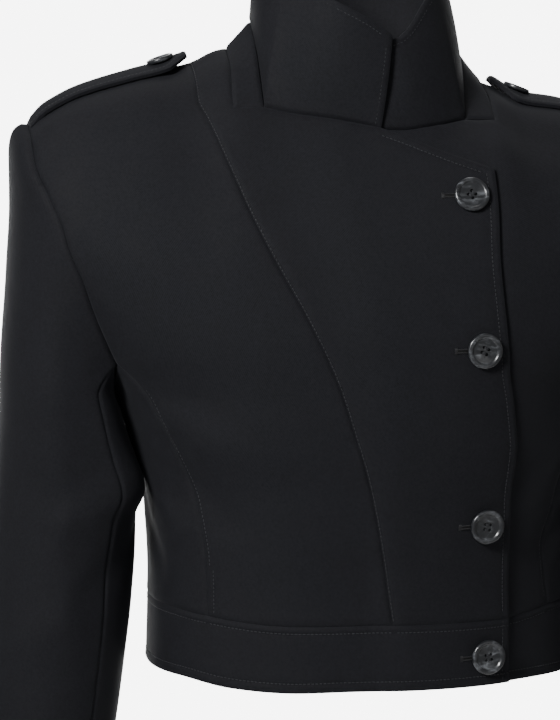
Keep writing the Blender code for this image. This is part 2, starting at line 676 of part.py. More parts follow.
def make_collar(seams):
    """The stand, which goes round the sides and back, and the collar above it."""
    left_back = seam_points(seams, "left back neck")
    right_back = seam_points(seams, "right back neck")
    left_side = seam_points(seams, "left neck side")
    right_side = seam_points(seams, "right neck side")
    neck = np.concatenate([left_side[::-1][:-1], left_back[:-1], right_back[:-1], right_side])
    top = stand_top(neck)
    ease = (1.0 - np.arange(STAND_EASE) / STAND_EASE)[:, None] ** 2
    top[:STAND_EASE] += ease * (seam_points(seams, "left neck front")[0] - top[0])
    top[-STAND_EASE:] += ease[::-1] * (seam_points(seams, "right neck front")[0] - top[-1])
    neck_at, top_at = track(settled(neck)), track(settled(top))

    def stand(number, share):
        share = share[..., None]
        return neck_at(number) * (1 - share) + top_at(number) * share

    make_strip("collar_stand", stand, np.arange(len(neck), dtype=float),
               np.linspace(0.0, 1.0, 3), CLOTH, (0.25, 0.1), -1.0)

    left_front = seam_points(seams, "left neck front")
    right_front = seam_points(seams, "right neck front", surface=lapped_point)
    base = np.concatenate([left_front[::-1][:-1], top[:-1], right_front])
    base_at = track(base)
    first, last = len(left_front) - 1, len(base) - len(right_front)
    top_bearings = np.interp(
        np.arange(len(base)),
        [0, first, first + len(left_side) - 1, last - len(right_side) + 1, last, len(base) - 1],
        [COLLAR_ENDS[0], COLLAR_CORNERS[0], 90.0, 270.0, COLLAR_CORNERS[1], COLLAR_ENDS[1]],
    )
    bearing_at = track(top_bearings[:, None])

    def collar(number, share):
        start = base_at(number)
        bearing = bearing_at(number)[..., 0]
        turn = np.radians(bearing)
        height = column(COLLAR_TOP, "height", bearing, scale=1.0)
        radius = column(COLLAR_TOP, "radius", bearing, scale=1.0)
        over = LAP_LIFT * smooth((bearing - 322.0) / 26.0)
        outward = np.stack([np.sin(turn), -np.cos(turn), 0 * turn], axis=-1)
        end = outward * (radius + over)[..., None]
        end[..., 1] -= COLLAR_FORWARD
        end[..., 2] = height
        share = share[..., None]
        bow = outward * (4.0 * COLLAR_BOW) * share * (1 - share)
        return settled(start * (1 - share) + end * share + bow)

    make_strip("collar", collar, np.arange(len(base), dtype=float),
               np.linspace(0.0, 1.0, COLLAR_ROWS), DOUBLED_CLOTH, (0.25, 0.05), -1.0)


def make_button_mesh(radius):
    """A turned button with a raised rim, a dished middle and four holes."""
    dish = 1.9 * MM
    height = 3.4 * MM
    profile = [
        (0.0, dish), (0.68 * radius, dish), (0.78 * radius, height - 0.3 * MM),
        (0.86 * radius, height), (0.95 * radius, height - 0.3 * MM), (radius, height - 1.1 * MM),
        (radius, 1.1 * MM), (0.86 * radius, 0.0), (0.0, 0.0),
    ]
    mesh = bpy.data.meshes.new("button profile")
    mesh.from_pydata([(x, 0.0, z) for x, z in profile], [(k, k + 1) for k in range(len(profile) - 1)], [])
    turned = bpy.data.objects.new("button blank", mesh)
    bpy.data.collections["cropped jacket"].objects.link(turned)
    screw = turned.modifiers.new("turn", "SCREW")
    screw.steps = 28
    screw.render_steps = 28
    screw.use_merge_vertices = True
    screw.merge_threshold = 0.00002
    cutters = []
    for x, y in ((1, 1), (-1, 1), (-1, -1), (1, -1)):
        bpy.ops.mesh.primitive_cylinder_add(
            vertices=8, radius=0.085 * radius, depth=12 * MM,
            location=(0.15 * radius * x, 0.15 * radius * y, 0.0),
        )
        cutter = bpy.context.object
        cutter.hide_render = True
        cutter.display_type = "WIRE"
        for collection in list(cutter.users_collection):
            collection.objects.unlink(cutter)
        bpy.data.collections["cutters"].objects.link(cutter)
        hole = turned.modifiers.new("hole", "BOOLEAN")
        hole.operation = "DIFFERENCE"
        hole.object = cutter
        cutters.append(cutter)
    bpy.context.view_layer.update()
    finished = bpy.data.meshes.new_from_object(turned.evaluated_get(bpy.context.evaluated_depsgraph_get()))
    finished.name = f"button {radius / MM:.0f}"
    finished.shade_smooth()
    finished.set_sharp_from_angle(angle=math.radians(35))
    for scratch in [turned, *cutters]:
        bpy.data.objects.remove(scratch)
    return finished


def set_button(name, mesh, cloth, point, normal, radius):
    """Seat a button on points of the cloth beneath it, just clear of the highest."""
    aside = cloth - point
    height = aside @ normal
    near = np.linalg.norm(aside - height[:, None] * normal, axis=-1) < radius
    seat = point + normal * (height[near].max() + 1.5 * RESTING_GAP)
    normal = Vector(normal).normalized()
    right = Vector((1.0, 0.0, 0.0))
    right = (right - normal * right.dot(normal)).normalized()
    up = normal.cross(right)
    turn = Matrix((right, up, normal)).transposed().to_4x4()
    button = place(name, mesh.copy(), BLACK_HORN)
    button.matrix_world = Matrix.Translation(Vector(seat)) @ turn


def strap_bearing(across, depth):
    """The bearing at which the body form is this far across, at a depth by the ridge."""
    low, high = np.zeros_like(across), np.full_like(across, 75.0)
    for _ in range(40):
        middle = 0.5 * (low + high)
        short = np.abs(body(middle, depth)[..., 0]) < across
        low = np.where(short, middle, low)
        high = np.where(short, high, middle)
    return low


def strap_surface(strap):
    """The upper side of a shoulder strap, from along its length and across it."""
    length = (strap.start - strap.tip) * MM

    def surface(along, share):
        across = strap.start * MM - along * length
        from_tip = (1.0 - along) * length
        half = STRAP_HALF_WIDTH * (1.0 - 0.12 * along)
        half = half * np.clip(0.25 + 0.75 * from_tip / STRAP_POINT, 0.25, 1.0)
        depth = share * half / shoulder_depth(across, 0.0)
        bearing = strap.side * strap_bearing(across, depth)
        lift = strap.tip_lift * MM * smooth(1.0 - from_tip / STRAP_LIFTS_OVER)
        raised = STRAP_STANDS_OFF + STRAP_THICKNESS + lift
        return body_point(bearing, depth) + body_facing(bearing, depth) * raised[..., None]

    return surface


def make_strap(strap, button):
    """A shoulder strap, sewn in at the armhole, with its button near the tip."""
    surface = strap_surface(strap)
    columns = np.concatenate([np.linspace(0.0, 0.86, 8), [0.93, 1.0]])
    make_strip(f"{strap.word}_epaulette", surface, columns, np.linspace(-1.0, 1.0, 7),
               STRAP_THICKNESS, (0.02, 0.1), -strap.side)
    place_along = (strap.start - strap.button) / (strap.start - strap.tip)
    along, share = np.meshgrid(place_along + np.linspace(-0.1, 0.1, 9), np.linspace(-0.5, 0.5, 9))
    cloth = surface(along.ravel(), share.ravel())
    along, share = np.array([place_along]), np.array([0.0])
    normal = -strap.side * facing(surface, along, share, 0.06, 0.3)[0]
    point = surface(along, share)[0]
    set_button(f"{strap.word}_epaulette_button", button, cloth, point, normal, STRAP_BUTTON_RADIUS)


def make_front_buttons(button):
    """The four buttons down the lap."""
    around = np.linspace(-1.0, 1.0, 9) * FRONT_BUTTON_RADIUS
    for number, (bearing, depth) in enumerate(FRONT_BUTTONS, start=1):
        right, down = np.meshgrid(bearing + around / WIDTH_PER_DEGREE, depth * MM + around)
        cloth = lapped_point(right.ravel(), down.ravel())
        bearing, depth = np.array([bearing]), np.array([depth * MM])
        normal = body_facing(bearing, depth)[0]
        point = lapped_point(bearing, depth)[0]
        set_button(f"front_button_{number}", button, cloth, point, normal, FRONT_BUTTON_RADIUS)


def main():
    """Make the jacket."""
    for existing in list(bpy.data.objects):
        bpy.data.objects.remove(existing)
    for name in ("cropped jacket", "cutters"):
        bpy.context.scene.collection.children.link(bpy.data.collections.new(name))
    seams = make_seams()
    for name in PANELS:
        make_panel(name, seams)
    for side, word in ((-1, "right"), (1, "left")):
        make_sleeve(side, word, seams)
    make_collar(seams)
    front_button = make_button_mesh(FRONT_BUTTON_RADIUS)
    strap_button = make_button_mesh(STRAP_BUTTON_RADIUS)
    make_front_buttons(front_button)
    for strap in STRAPS:
        make_strap(strap, strap_button)


main()
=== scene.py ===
"""Cropped jacket in black twill, hollow and shaped as worn, for a studio picture.

The solid model gives the frame: every piece of cloth here stands for one of its nodes
and follows the same form, more finely, with rolled seams, soft folds and real sewing.
Metres, +Z up, the front faces -Y and the wearer's left is +X. Tables are in
millimetres and degrees.

A place on the body has a bearing round it (0 at the middle of the front, positive
towards the wearer's left) and a depth down the cloth from the top of the shoulder.
"""

import json
import logging
import math
from collections.abc import Callable, Sequence
from dataclasses import dataclass
from enum import Enum
from typing import NamedTuple

import bpy
import numpy as np
from mathutils import Euler, Matrix, Vector, noise
from mathutils.geometry import delaunay_2d_cdt

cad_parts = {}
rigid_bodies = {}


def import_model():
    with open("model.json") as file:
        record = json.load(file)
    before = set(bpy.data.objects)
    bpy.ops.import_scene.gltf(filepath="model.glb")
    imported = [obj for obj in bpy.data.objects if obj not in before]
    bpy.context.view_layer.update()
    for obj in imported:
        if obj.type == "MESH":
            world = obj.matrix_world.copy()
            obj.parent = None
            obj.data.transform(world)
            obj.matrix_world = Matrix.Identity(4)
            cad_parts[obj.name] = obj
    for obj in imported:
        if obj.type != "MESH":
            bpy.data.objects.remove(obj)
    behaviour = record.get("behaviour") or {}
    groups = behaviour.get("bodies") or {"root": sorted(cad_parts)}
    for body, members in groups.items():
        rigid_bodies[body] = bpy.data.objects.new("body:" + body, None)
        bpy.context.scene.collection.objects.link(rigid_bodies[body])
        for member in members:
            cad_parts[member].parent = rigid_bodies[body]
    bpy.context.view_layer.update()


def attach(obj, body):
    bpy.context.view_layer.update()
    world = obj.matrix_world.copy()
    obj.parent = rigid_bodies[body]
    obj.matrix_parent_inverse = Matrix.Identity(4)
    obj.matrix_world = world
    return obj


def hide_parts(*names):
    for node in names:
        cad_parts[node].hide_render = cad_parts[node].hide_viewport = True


log = logging.getLogger("cropped jacket")

MM = 0.001

# Driving sizes, as in the solid model
CLOTH = 2.0 * MM
DOUBLED_CLOTH = 2.4 * MM
STRAP_THICKNESS = 3.0 * MM
SEAM_GAP = 0.04 * MM
RESTING_GAP = 0.3 * MM
LAP_LIFT = 3.6 * MM
CUFF_DROP = 660 * MM
SHOULDER_DROP = 25 * MM
SETTLES_FROM = 20 * MM
SETTLES_OVER = 75 * MM
SETTLES_REACH = 90 * MM
REACH_GROWS = 0.9
REACH_GROWS_FROM = 100 * MM
REACH_GROWS_OVER = 200 * MM
LEFT_WIDER = 12 * MM
WIDENS_BELOW = 235 * MM
WIDENS_OVER = 110 * MM
WIDENS_FROM = 100 * MM
WIDENS_ACROSS = 50 * MM
FRONT_BUTTON_RADIUS = 12.5 * MM
STRAP_BUTTON_RADIUS = 10.0 * MM
WIDTH_PER_DEGREE = 2.6 * MM

# Fineness of the meshes
SEAM_STEP = 4 * MM
PANEL_STEP = 4.2 * MM
PROBE = 2 * MM
SLEEVE_STEPS = (0.5, 0.006)
STAND_STEPS = (0.25, 0.1)
COLLAR_STEPS = (0.25, 0.05)
STRAP_STEPS = (0.02, 0.1)
STRAP_BUTTON_STEPS = (0.06, 0.3)
CLOSE_COLUMNS = (0.2, 0.55)
ROW_SPACING = 0.87
CLEAR_OF_LINES = 0.45
NOT_SEWN = 1.0

# Relief of the cloth
SEAM_GROOVE = 0.75 * MM
SEAM_ROUNDING = 1.0 * MM
SEAM_BULK = 0.3 * MM
BULK_INSIDE = 3.2 * MM
BULK_WIDTH = 1.6 * MM
CLOSE_ROWS = (0.8 * MM, 2.2 * MM)
STITCH_VALLEY = 0.45 * MM
STITCH_VALLEY_WIDTH = 1.3 * MM
UNEVENNESS = 0.45 * MM
UNEVEN_LENGTH = 55 * MM
PUCKER = 0.22 * MM
PUCKER_LENGTH = 9 * MM
PUCKER_REACH = 8 * MM

# Sewing
TAPE_TOP = 1.1 * MM
TAPE_BOTTOM = 1.7 * MM
TAPE_HALF_WIDTH = 2.5 * MM
TAPE_HALF_WIDTH_AT_ARM = 1.4 * MM
STITCH_PITCH = 2.9 * MM
STITCH_LENGTH = 2.1 * MM
THREAD_RADIUS = 0.34 * MM


class Girth(NamedTuple):
    """One level of the body form, in millimetres."""
    depth: float
    drop: float
    half_width: float
    squareness: float
    front: float
    back: float


class Ridge(NamedTuple):
    """A point on the top line of the shoulder."""
    across: float
    height: float


class SleeveLevel(NamedTuple):
    """One level of a sleeve: distances from the middle of the body."""
    down: float
    inner: float
    outer: float
    front: float
    back: float
    squareness: float


class Fold(NamedTuple):
    """A soft ridge, or a trough where its height is negative."""
    bearing: float
    depth: float
    end_bearing: float
    end_depth: float
    half_width: float
    height: float


class Strap(NamedTuple):
    """A shoulder strap: distances from the middle of the body to its places."""
    word: str
    side: float
    start: float
    tip: float
    button: float
    tip_lift: float


class Collar(NamedTuple):
    """The top edge of the collar at one bearing round the neck."""
    bearing: float
    height: float
    radius: float


class Row(NamedTuple):
    """A row of topstitching beside a seam, how far inside the piece, and the share it covers."""
    seam: str
    inside: float
    start: float = 0.0
    end: float = 1.0


class Side(Enum):
    """A side of a piece whose points stand in columns and rows."""
    TOP = "top"
    BOTTOM = "bottom"
    START = "start"
    END = "end"


class Cut(NamedTuple):
    """The flat cut of a piece: width, length and area, in millimetres and square metres."""
    width: float
    length: float
    area: float


GIRTHS = [
    Girth(0, 0, 250, 3.2, 0, 0),
    Girth(32, -12, 251, 3.2, 30, 48),
    Girth(68, -38, 252, 3.1, 55, 76),
    Girth(99, -62, 252, 3.0, 74, 90),
    Girth(142, -100, 248, 2.9, 94, 105),
    Girth(196, -150, 229, 2.7, 113, 115),
    Girth(256, -210, 198, 2.5, 124, 116),
    Girth(294, -247, 174.5, 2.4, 125, 113),
    Girth(322, -275, 166.5, 2.4, 124, 109),
    Girth(365, -318, 153.5, 2.3, 120, 104),
    Girth(435, -388, 150, 2.3, 115, 101),
    Girth(480, -433, 151, 2.3, 115, 103),
    Girth(525, -478, 153, 2.3, 117, 105),
]

RIDGES = [
    Ridge(0, 0), Ridge(85, 0), Ridge(94, -0.5), Ridge(103, -3), Ridge(112.5, -8),
    Ridge(122, -11.5), Ridge(152, -16.3), Ridge(167, -20.3), Ridge(187.5, -26.2),
    Ridge(202.5, -31.5), Ridge(217.5, -39.3), Ridge(227.3, -45.5), Ridge(235.5, -53),
    Ridge(260, -80),
]
RIDGE_FADES_BY = -285 * MM

# The squared shoulder: how much deeper, how far down, and from where to where across
SQUARED = 0.6
SQUARED_DEPTH = 50 * MM
SQUARED_FROM = 100 * MM
SQUARED_OVER = 130 * MM

SLEEVE_LEVELS = [
    SleeveLevel(50, 180, 249.5, 58, 66, 2.0),
    SleeveLevel(110, 180, 249, 62, 69, 2.1),
    SleeveLevel(155, 180, 251.5, 66, 72, 2.2),
    SleeveLevel(235, 177.5, 257, 65, 68, 3.4),
    SleeveLevel(265, 171, 258, 63, 65, 4.2),
    SleeveLevel(290, 163.4, 259.5, 61, 62, 4.2),
    SleeveLevel(317, 156, 261, 58, 60, 3.8),
    SleeveLevel(334, 159.8, 262.5, 57, 59, 2.8),
    SleeveLevel(353, 160, 264.5, 56, 57, 2.3),
    SleeveLevel(398, 163.4, 267, 56, 52, 2.0),
    SleeveLevel(482, 175, 272, 57, 43, 2.0),
    SleeveLevel(560, 187, 278, 62, 32, 2.0),
    SleeveLevel(660, 197, 281, 70, 16, 2.0),
]
FRONT_SLEEVE_SEAM = 122.0
BACK_SLEEVE_SEAM = 238.0
CAP_ENDS_DOWN = 238 * MM
CAP_ENDS_LOWER_INSIDE = 30 * MM
CAP_ROLLS_OVER = 0.35
CAP_ROLLS_LONGER_INSIDE = 0.4
CAP_LEAVES_TOP = 32 * MM
CAP_LEAVES_INSIDE = 3 * MM
CAP_LEAVES_FORWARD = -2 * MM
CAP_ROWS = 40
CAP_ROWS_CROWD = 0.8
SLEEVE_ROWS = 108
CUFF_ROWS = (1.995, 1.998, 2.0)

# Folds of the cloth: where each fades at its ends, as a share of its length, and how much
# more it moves the front and back than the sides
FOLD_FADES = 0.3
FOLD_FORWARD = 1.6
BODY_FOLDS = [
    Fold(-104, 296, -66, 300, 11, 1.5),
    Fold(104, 296, 66, 300, 11, 1.5),
    Fold(-66, 285, -34, 330, 16, 2.5),
    Fold(-60, 318, -40, 385, 15, -2.5),
    Fold(-84, 330, -58, 392, 15, 3.0),
    Fold(-100, 350, -70, 420, 14, -2.0),
    Fold(62, 300, 46, 372, 15, 3.0),
    Fold(72, 355, 50, 408, 13, -3.0),
    Fold(88, 346, 66, 406, 14, 2.0),
    Fold(128, 150, 140, 262, 20, -3.5),
    Fold(232, 150, 219, 262, 20, -3.5),
    Fold(135, 300, 168, 352, 18, 3.5),
    Fold(225, 296, 194, 360, 18, 3.0),
    Fold(150, 372, 205, 392, 17, -3.0),
]

SLEEVE_FOLDS = [
    Fold(150, 300, 75, 340, 18, 3.0),
    Fold(165, 345, 95, 392, 17, -2.5),
    Fold(100, 405, 20, 430, 20, 2.5),
    Fold(205, 330, 262, 372, 18, 3.0),
    Fold(215, 400, 285, 425, 18, -3.0),
    Fold(-60, 130, -35, 250, 22, -3.0),
]

STRAPS = [Strap("right", -1.0, 234, 119, 139, 5.0), Strap("left", 1.0, 234, 101, 122, 2.5)]
STRAP_HALF_WIDTH = 20.5 * MM
STRAP_POINT = 16 * MM
STRAP_LIFTS_OVER = 34 * MM
STRAP_STANDS_OFF = 1.2 * MM
STRAP_TUCKS_IN = 2.6 * MM
STRAP_TUCK = 7 * MM
STRAP_NARROWS = 0.12
STRAP_TIP_WIDTH = 0.25
STRAP_COLUMNS = 46
STRAP_ROWS = 15

COLLAR_TOP = [
    Collar(-22, 2, 58), Collar(0, 4, 59.5), Collar(19, 9, 66), Collar(45, 46, 67),
    Collar(70, 64, 66), Collar(90, 72, 66), Collar(180, 76, 62), Collar(270, 72, 66),
    Collar(310, 55, 67), Collar(336, 37, 66), Collar(360, 22, 65), Collar(374, 10.5, 66),
]
COLLAR_ENDS = (-22.0, 374.0)
COLLAR_CORNERS = (52.0, 308.0)
COLLAR_ROWS = 26
COLLAR_BOW = 2.0 * MM
COLLAR_FORWARD = 3 * MM
COLLAR_LAP_FROM = 322.0
COLLAR_LAP_OVER = 26.0
STAND_RISE = 19 * MM
STAND_SLOPES_IN = 17.5 * MM
STAND_SLOPES_IN_MORE = 2.0 * MM
STAND_EASE = 76 * MM
STAND_FADES_AHEAD = 56 * MM
STAND_STEEPER_BEHIND = 50 * MM
STAND_ROWS = 7

# Seams on the body, each as (bearing, depth) along its length. The left armhole mirrors the
# right one.
MIRRORED_SEAMS = ("armhole front", "underarm", "armhole back")
SEAMS = {
    "right neck side": [(-20.5, 0), (-20.7, 35), (-21, 70)],
    "right neck corner": [(-21, 70), (-16.3, 70.5)],
    "right neck front": [(-16.3, 70.5), (-11, 78.5), (-4.8, 85), (1.8, 92)],
    "lap top": [(1.8, 92), (10.6, 108.5), (19.3, 124.5)],
    "lap edge": [(19.3, 124.5), (20.6, 185), (27, 266.5), (31.4, 295), (36.8, 366), (38, 453)],
    "lap edge of band": [(38, 453), (37.6, 499.5)],
    "right shoulder by neck": [(-20.5, 0), (-26, 0)],
    "right shoulder": [(-26, 0), (-58.5, 0)],
    "princess": [(-26, 0), (-26, 50), (-25, 69), (-23.4, 102.5), (-20.8, 148.5), (-18, 191),
                 (-14.5, 227.5), (-11.2, 262.5), (-8, 302), (-3.9, 345), (-0.5, 389),
                 (3.2, 451)],
    "right armhole front": [(-58.5, 0), (-56.8, 60), (-54.2, 96), (-52.2, 137), (-54.3, 185),
                            (-59.4, 236), (-62.7, 264)],
    "right underarm": [(-62.7, 264), (-75, 281), (-90, 287), (-105, 281), (-118, 264)],
    "right armhole back": [(-121.5, 0), (-124, 60), (-124.5, 130), (-122, 200), (-118, 264)],
    "right side front": [(-62.7, 264), (-58.3, 287), (-56, 314), (-54.2, 342), (-50.6, 383),
                         (-49.2, 407), (-49, 447.5)],
    "right side back": [(-118, 264), (-122, 300), (-126, 360), (-130, 447)],
    "band top at lap": [(38, 453), (21, 452), (3.2, 451)],
    "band top at right front": [(3.2, 451), (-24, 451.5), (-49, 447.5)],
    "band top at right side": [(-49, 447.5), (-66, 445.5), (-98, 446), (-130, 447)],
    "right band end": [(-130, 447), (-130, 497)],
    "right hem": [(37.6, 499.5), (-8, 498.5), (-24, 499.5), (-40, 498), (-60, 494),
                  (-99, 495.5), (-130, 497)],
    "left neck side": [(21.5, 0), (21.4, 28), (21.2, 60)],
    "left neck corner": [(21.2, 60), (16.3, 67.5)],
    "left neck front": [(16.3, 67.5), (11.8, 82), (5, 92), (-1.5, 91)],
    "left front edge": [(-1.5, 91), (3, 250), (12, 452.5)],
    "left front edge of band": [(12, 452.5), (12, 499)],
    "left shoulder": [(21.5, 0), (58.5, 0)],
    "left side front": [(62.7, 264), (58.3, 287), (56, 330), (53.5, 380), (51.8, 415),
                        (54, 449)],
    "left side back": [(118, 264), (122, 300), (126, 360), (130, 447)],
    "band top at left front": [(12, 452.5), (39, 453), (54, 449)],
    "band top at left side": [(54, 449), (74, 447.5), (98, 447), (130, 447)],
    "left band end": [(130, 447), (130, 497)],
    "left hem": [(12, 499), (39, 499.5), (74, 502), (98, 500), (130, 497)],
    "left back neck": [(158.5, 0), (168, 28), (174.5, 36.5), (180, 39)],
    "right back neck": [(180, 39), (185.5, 36.5), (191, 28), (200.5, 0)],
    "centre back": [(180, 39), (180, 448.5)],
    "band top at left back": [(130, 447), (155, 448), (180, 448.5)],
    "band top at right back": [(180, 448.5), (205, 448), (230, 447)],
    "back hem": [(130, 497), (180, 499), (230, 497)],
}

# Cut pieces of the body: the seams round each, from one to the next
PANELS = {
    "right_front": ["right shoulder by neck", "right neck side", "right neck corner",
                    "right neck front", "lap top", "lap edge", "band top at lap", "princess"],
    "right_side_front": ["right shoulder", "princess", "band top at right front",
                         "right side front", "right armhole front"],
    "right_side": ["right side front", "band top at right side", "right side back",
                   "right underarm"],
    "left_front": ["left neck side", "left neck corner", "left neck front", "left front edge",
                   "band top at left front", "left side front", "left armhole front",
                   "left shoulder"],
    "left_side": ["left side front", "band top at left side", "left side back",
                  "left underarm"],
    "left_back": ["left back neck", "centre back", "band top at left back", "left side back",
                  "left armhole back", "left shoulder behind"],
    "right_back": ["right back neck", "right shoulder by neck behind", "right shoulder behind",
                   "right armhole back", "right side back", "band top at right back",
                   "centre back"],
    "right_band": ["lap edge of band", "right hem", "right band end",
                   "band top at right side", "band top at right front", "band top at lap"],
    "left_band": ["left front edge of band", "left hem", "left band end",
                  "band top at left side", "band top at left front"],
    "back_band": ["band top at left back", "band top at right back", "right band end",
                  "back hem", "left band end"],
}
TAPED_SEAMS = (
    "right shoulder by neck", "right shoulder", "princess", "left shoulder", "right side front",
    "right side back", "left side front", "left side back", "centre back", "band top at lap",
    "band top at right front", "band top at right side", "band top at left front",
    "band top at left side", "band top at left back", "band top at right back", "right band end",
    "left band end",
)
LAPPING_PANELS = ("right_front", "right_side_front", "right_band")
LAP_RAMP = (-17.0, -5.0)
LAP_RAMP_TURN = 13.0
LAP_TOP = 92 * MM
LAP_LENGTH = 360 * MM

# Buttons on the lap as (bearing, depth)
FRONT_BUTTONS = [(15.4, 145.0), (20.3, 254.5), (28.7, 382.0), (30.0, 478.0)]

# Topstitching on each piece of the body, with distances in millimetres
TOPSTITCHING = {
    "right_front": [Row("lap top", 6.3, 0.02, 0.946), Row("lap edge", 6.3, 0.009),
                    Row("princess", 1.1)],
    "right_side_front": [Row("right side front", 2.9, 0.12, 0.82),
                         Row("right side front", 5.6, 0.82)],
    "left_front": [Row("left side front", 2.6, 0.08)],
    "right_band": [Row("band top at lap", 5.0), Row("band top at right front", 5.0),
                   Row("band top at right side", 5.0), Row("right hem", 7.0),
                   Row("lap edge of band", 6.3)],
    "left_band": [Row("band top at left front", 5.0), Row("band top at left side", 5.0),
                  Row("left hem", 7.0)],
    "back_band": [Row("band top at left back", 5.0), Row("band top at right back", 5.0),
                  Row("back hem", 7.0)],
}
COLLAR_STITCHING = 4.6 * MM
STRAP_STITCHING = 4.0 * MM

# Buttonholes: from the middle of the button towards the wearer's right
BUTTONHOLE_LENGTH = 21.5 * MM
BUTTONHOLE_HALF_GAP = 0.45 * MM
BUTTONHOLE_BITE = 1.3 * MM
BUTTONHOLE_PITCH = 0.55 * MM
BAR_TACK_HALF = 2.6 * MM
SLIT_HALF_WIDTH = 0.45 * MM
BUTTON_FACES_FRONT = 0.6
SHANK_LENGTH = 4.5 * MM
STRAP_BUTTON_SINKS = 2.0 * MM
STRAP_BUTTON_TURN = 20.0
FRONT_BUTTON_TURN = 30.0
FRONT_BUTTON_TURN_MORE = 17.0

# A button: its height, the depth of its dished middle, and the place and radius of its
# holes as shares of its own radius
BUTTON_HEIGHT = 3.4 * MM
BUTTON_DISH = 1.9 * MM
HOLE_PLACE = 0.15
HOLE_RADIUS = 0.09
STRAND_ASIDE = 0.3 * MM
SHANK_RADIUS = 0.9 * MM
SLIT_RISE = 1.25 * MM

CAMERA_PLACE = Vector((-0.45794159, -2.35590524, 0.08))
CAMERA_AIM = Vector((-0.05050472, 0.00981712, -0.22932))
CAMERA_LENS = 164.65
FLOOR_HEIGHT = -0.78
FLOOR_RADIUS = 0.85
AMBIENT = 0.26
WALL_BRIGHTNESS = 7.0
WALL_EDGE = 0.80
WALL_MIDDLE = 0.96


class Lamp(NamedTuple):
    """A round soft light, in metres, watts and degrees."""
    name: str
    place: tuple[float, float, float]
    aim: tuple[float, float, float]
    size: float
    power: float
    spread: float


LAMPS = [
    Lamp("key", (-1.9, -2.0, 1.3), (0.09, 0.0, -0.15), 1.1, 9.6, 44.0),
    Lamp("fill", (1.2, -2.8, 0.3), (0.0, 0.0, -0.25), 1.4, 1.5, 120.0),
    Lamp("top", (0.3, 0.9, 1.9), (0.0, 0.0, -0.1), 1.2, 5.0, 120.0),
]


def smooth(value: np.ndarray) -> np.ndarray:
    """Zero up to 0, one from 1 on, and an even S between."""
    t = np.clip(value, 0.0, 1.0)
    return t * t * (3.0 - 2.0 * t)


def curve_through(xs: Sequence, ys: Sequence, at: np.ndarray) -> np.ndarray:
    """Read a curve that goes through a table's points and never overshoots them.

    Args:
        xs: the table's first column, rising.
        ys: its values.
        at: where to read them.

    Returns:
        The values there.
    """
    xs, ys, at = (np.asarray(v, dtype=float) for v in (xs, ys, at))
    step = np.diff(xs)
    slope = np.diff(ys) / step
    tangent = np.concatenate([slope[:1], np.zeros(len(xs) - 2), slope[-1:]])
    for k in range(1, len(xs) - 1):
        if slope[k - 1] * slope[k] > 0:
            before = 2 * step[k] + step[k - 1]
            after = step[k] + 2 * step[k - 1]
            tangent[k] = (before + after) / (before / slope[k - 1] + after / slope[k])
    k = np.clip(np.searchsorted(xs, at, side="right") - 1, 0, len(xs) - 2)
    t = (at - xs[k]) / step[k]
    start = (1 + 2 * t) * (1 - t) ** 2 * ys[k] + t * (1 - t) ** 2 * step[k] * tangent[k]
    end = t * t * (3 - 2 * t) * ys[k + 1] + t * t * (t - 1) * step[k] * tangent[k + 1]
    return start + end


def column(table: Sequence, name: str, at: np.ndarray, scale: float = MM) -> np.ndarray:
    """Read one named column of a table at places in its first column.

    Args:
        table: rows, each a named tuple.
        name: the column to read.
        at: places in the first column's unit.
        scale: turns the first column into that unit.

    Returns:
        The column's values in metres, or plain for a squareness.
    """
    keys = [row[0] * scale for row in table]
    values = [getattr(row, name) * (1.0 if name == "squareness" else MM) for row in table]
    return curve_through(keys, values, at)


def fold_height(folds: Sequence[Fold], bearing: np.ndarray, depth: np.ndarray) -> np.ndarray:
    """Add up the folds at a bearing in degrees and a depth.

    Args:
        folds: the folds to add.
        bearing: degrees round the body.
        depth: metres down the cloth from the top of the shoulder.

    Returns:
        Metres outwards.
    """
    bearing = np.asarray(bearing, dtype=float)
    total = np.zeros(np.broadcast(bearing, depth).shape)
    for fold in folds:
        start = np.array([fold.bearing * WIDTH_PER_DEGREE, fold.depth * MM])
        run = np.array([fold.end_bearing * WIDTH_PER_DEGREE, fold.end_depth * MM]) - start
        middle = 0.5 * (fold.bearing + fold.end_bearing)
        turned = middle + (bearing - middle + 180.0) % 360.0 - 180.0
        right = turned * WIDTH_PER_DEGREE - start[0]
        down = depth - start[1]
        along = (right * run[0] + down * run[1]) / (run @ run)
        aside = (right * run[1] - down * run[0]) / math.sqrt(run @ run)
        window = smooth(along / FOLD_FADES + 0.5) * smooth((1.0 - along) / FOLD_FADES + 0.5)
        total += fold.height * MM * window * np.exp(-(aside / (fold.half_width * MM)) ** 2)
    return total


def settled(points: np.ndarray) -> np.ndarray:
    """Lower the wearer's left shoulder and widen the left waist, as the jacket is worn.

    Args:
        points: on the form before it settles.

    Returns:
        The same points as worn.
    """
    out = np.array(points, dtype=float)
    across, height = out[..., 0], out[..., 2]
    above = height - column(RIDGES, "height", np.abs(across))
    reach = SETTLES_REACH + REACH_GROWS * np.clip(across - REACH_GROWS_FROM, 0.0, REACH_GROWS_OVER)
    share = smooth((across - SETTLES_FROM) / SETTLES_OVER) * smooth(1.0 + above / reach)
    out[..., 2] = height - SHOULDER_DROP * share
    lower = smooth((-height - WIDENS_BELOW) / WIDENS_OVER)
    out[..., 0] += LEFT_WIDER * lower * smooth((across - WIDENS_FROM) / WIDENS_ACROSS)
    return out


def shoulder_depth(across: np.ndarray, drop: np.ndarray) -> np.ndarray:
    """How much deeper than the body's own curve the squared shoulder is."""
    out_by = smooth((across - SQUARED_FROM) / SQUARED_OVER)
    return 1 + SQUARED * np.exp(drop / SQUARED_DEPTH) * out_by


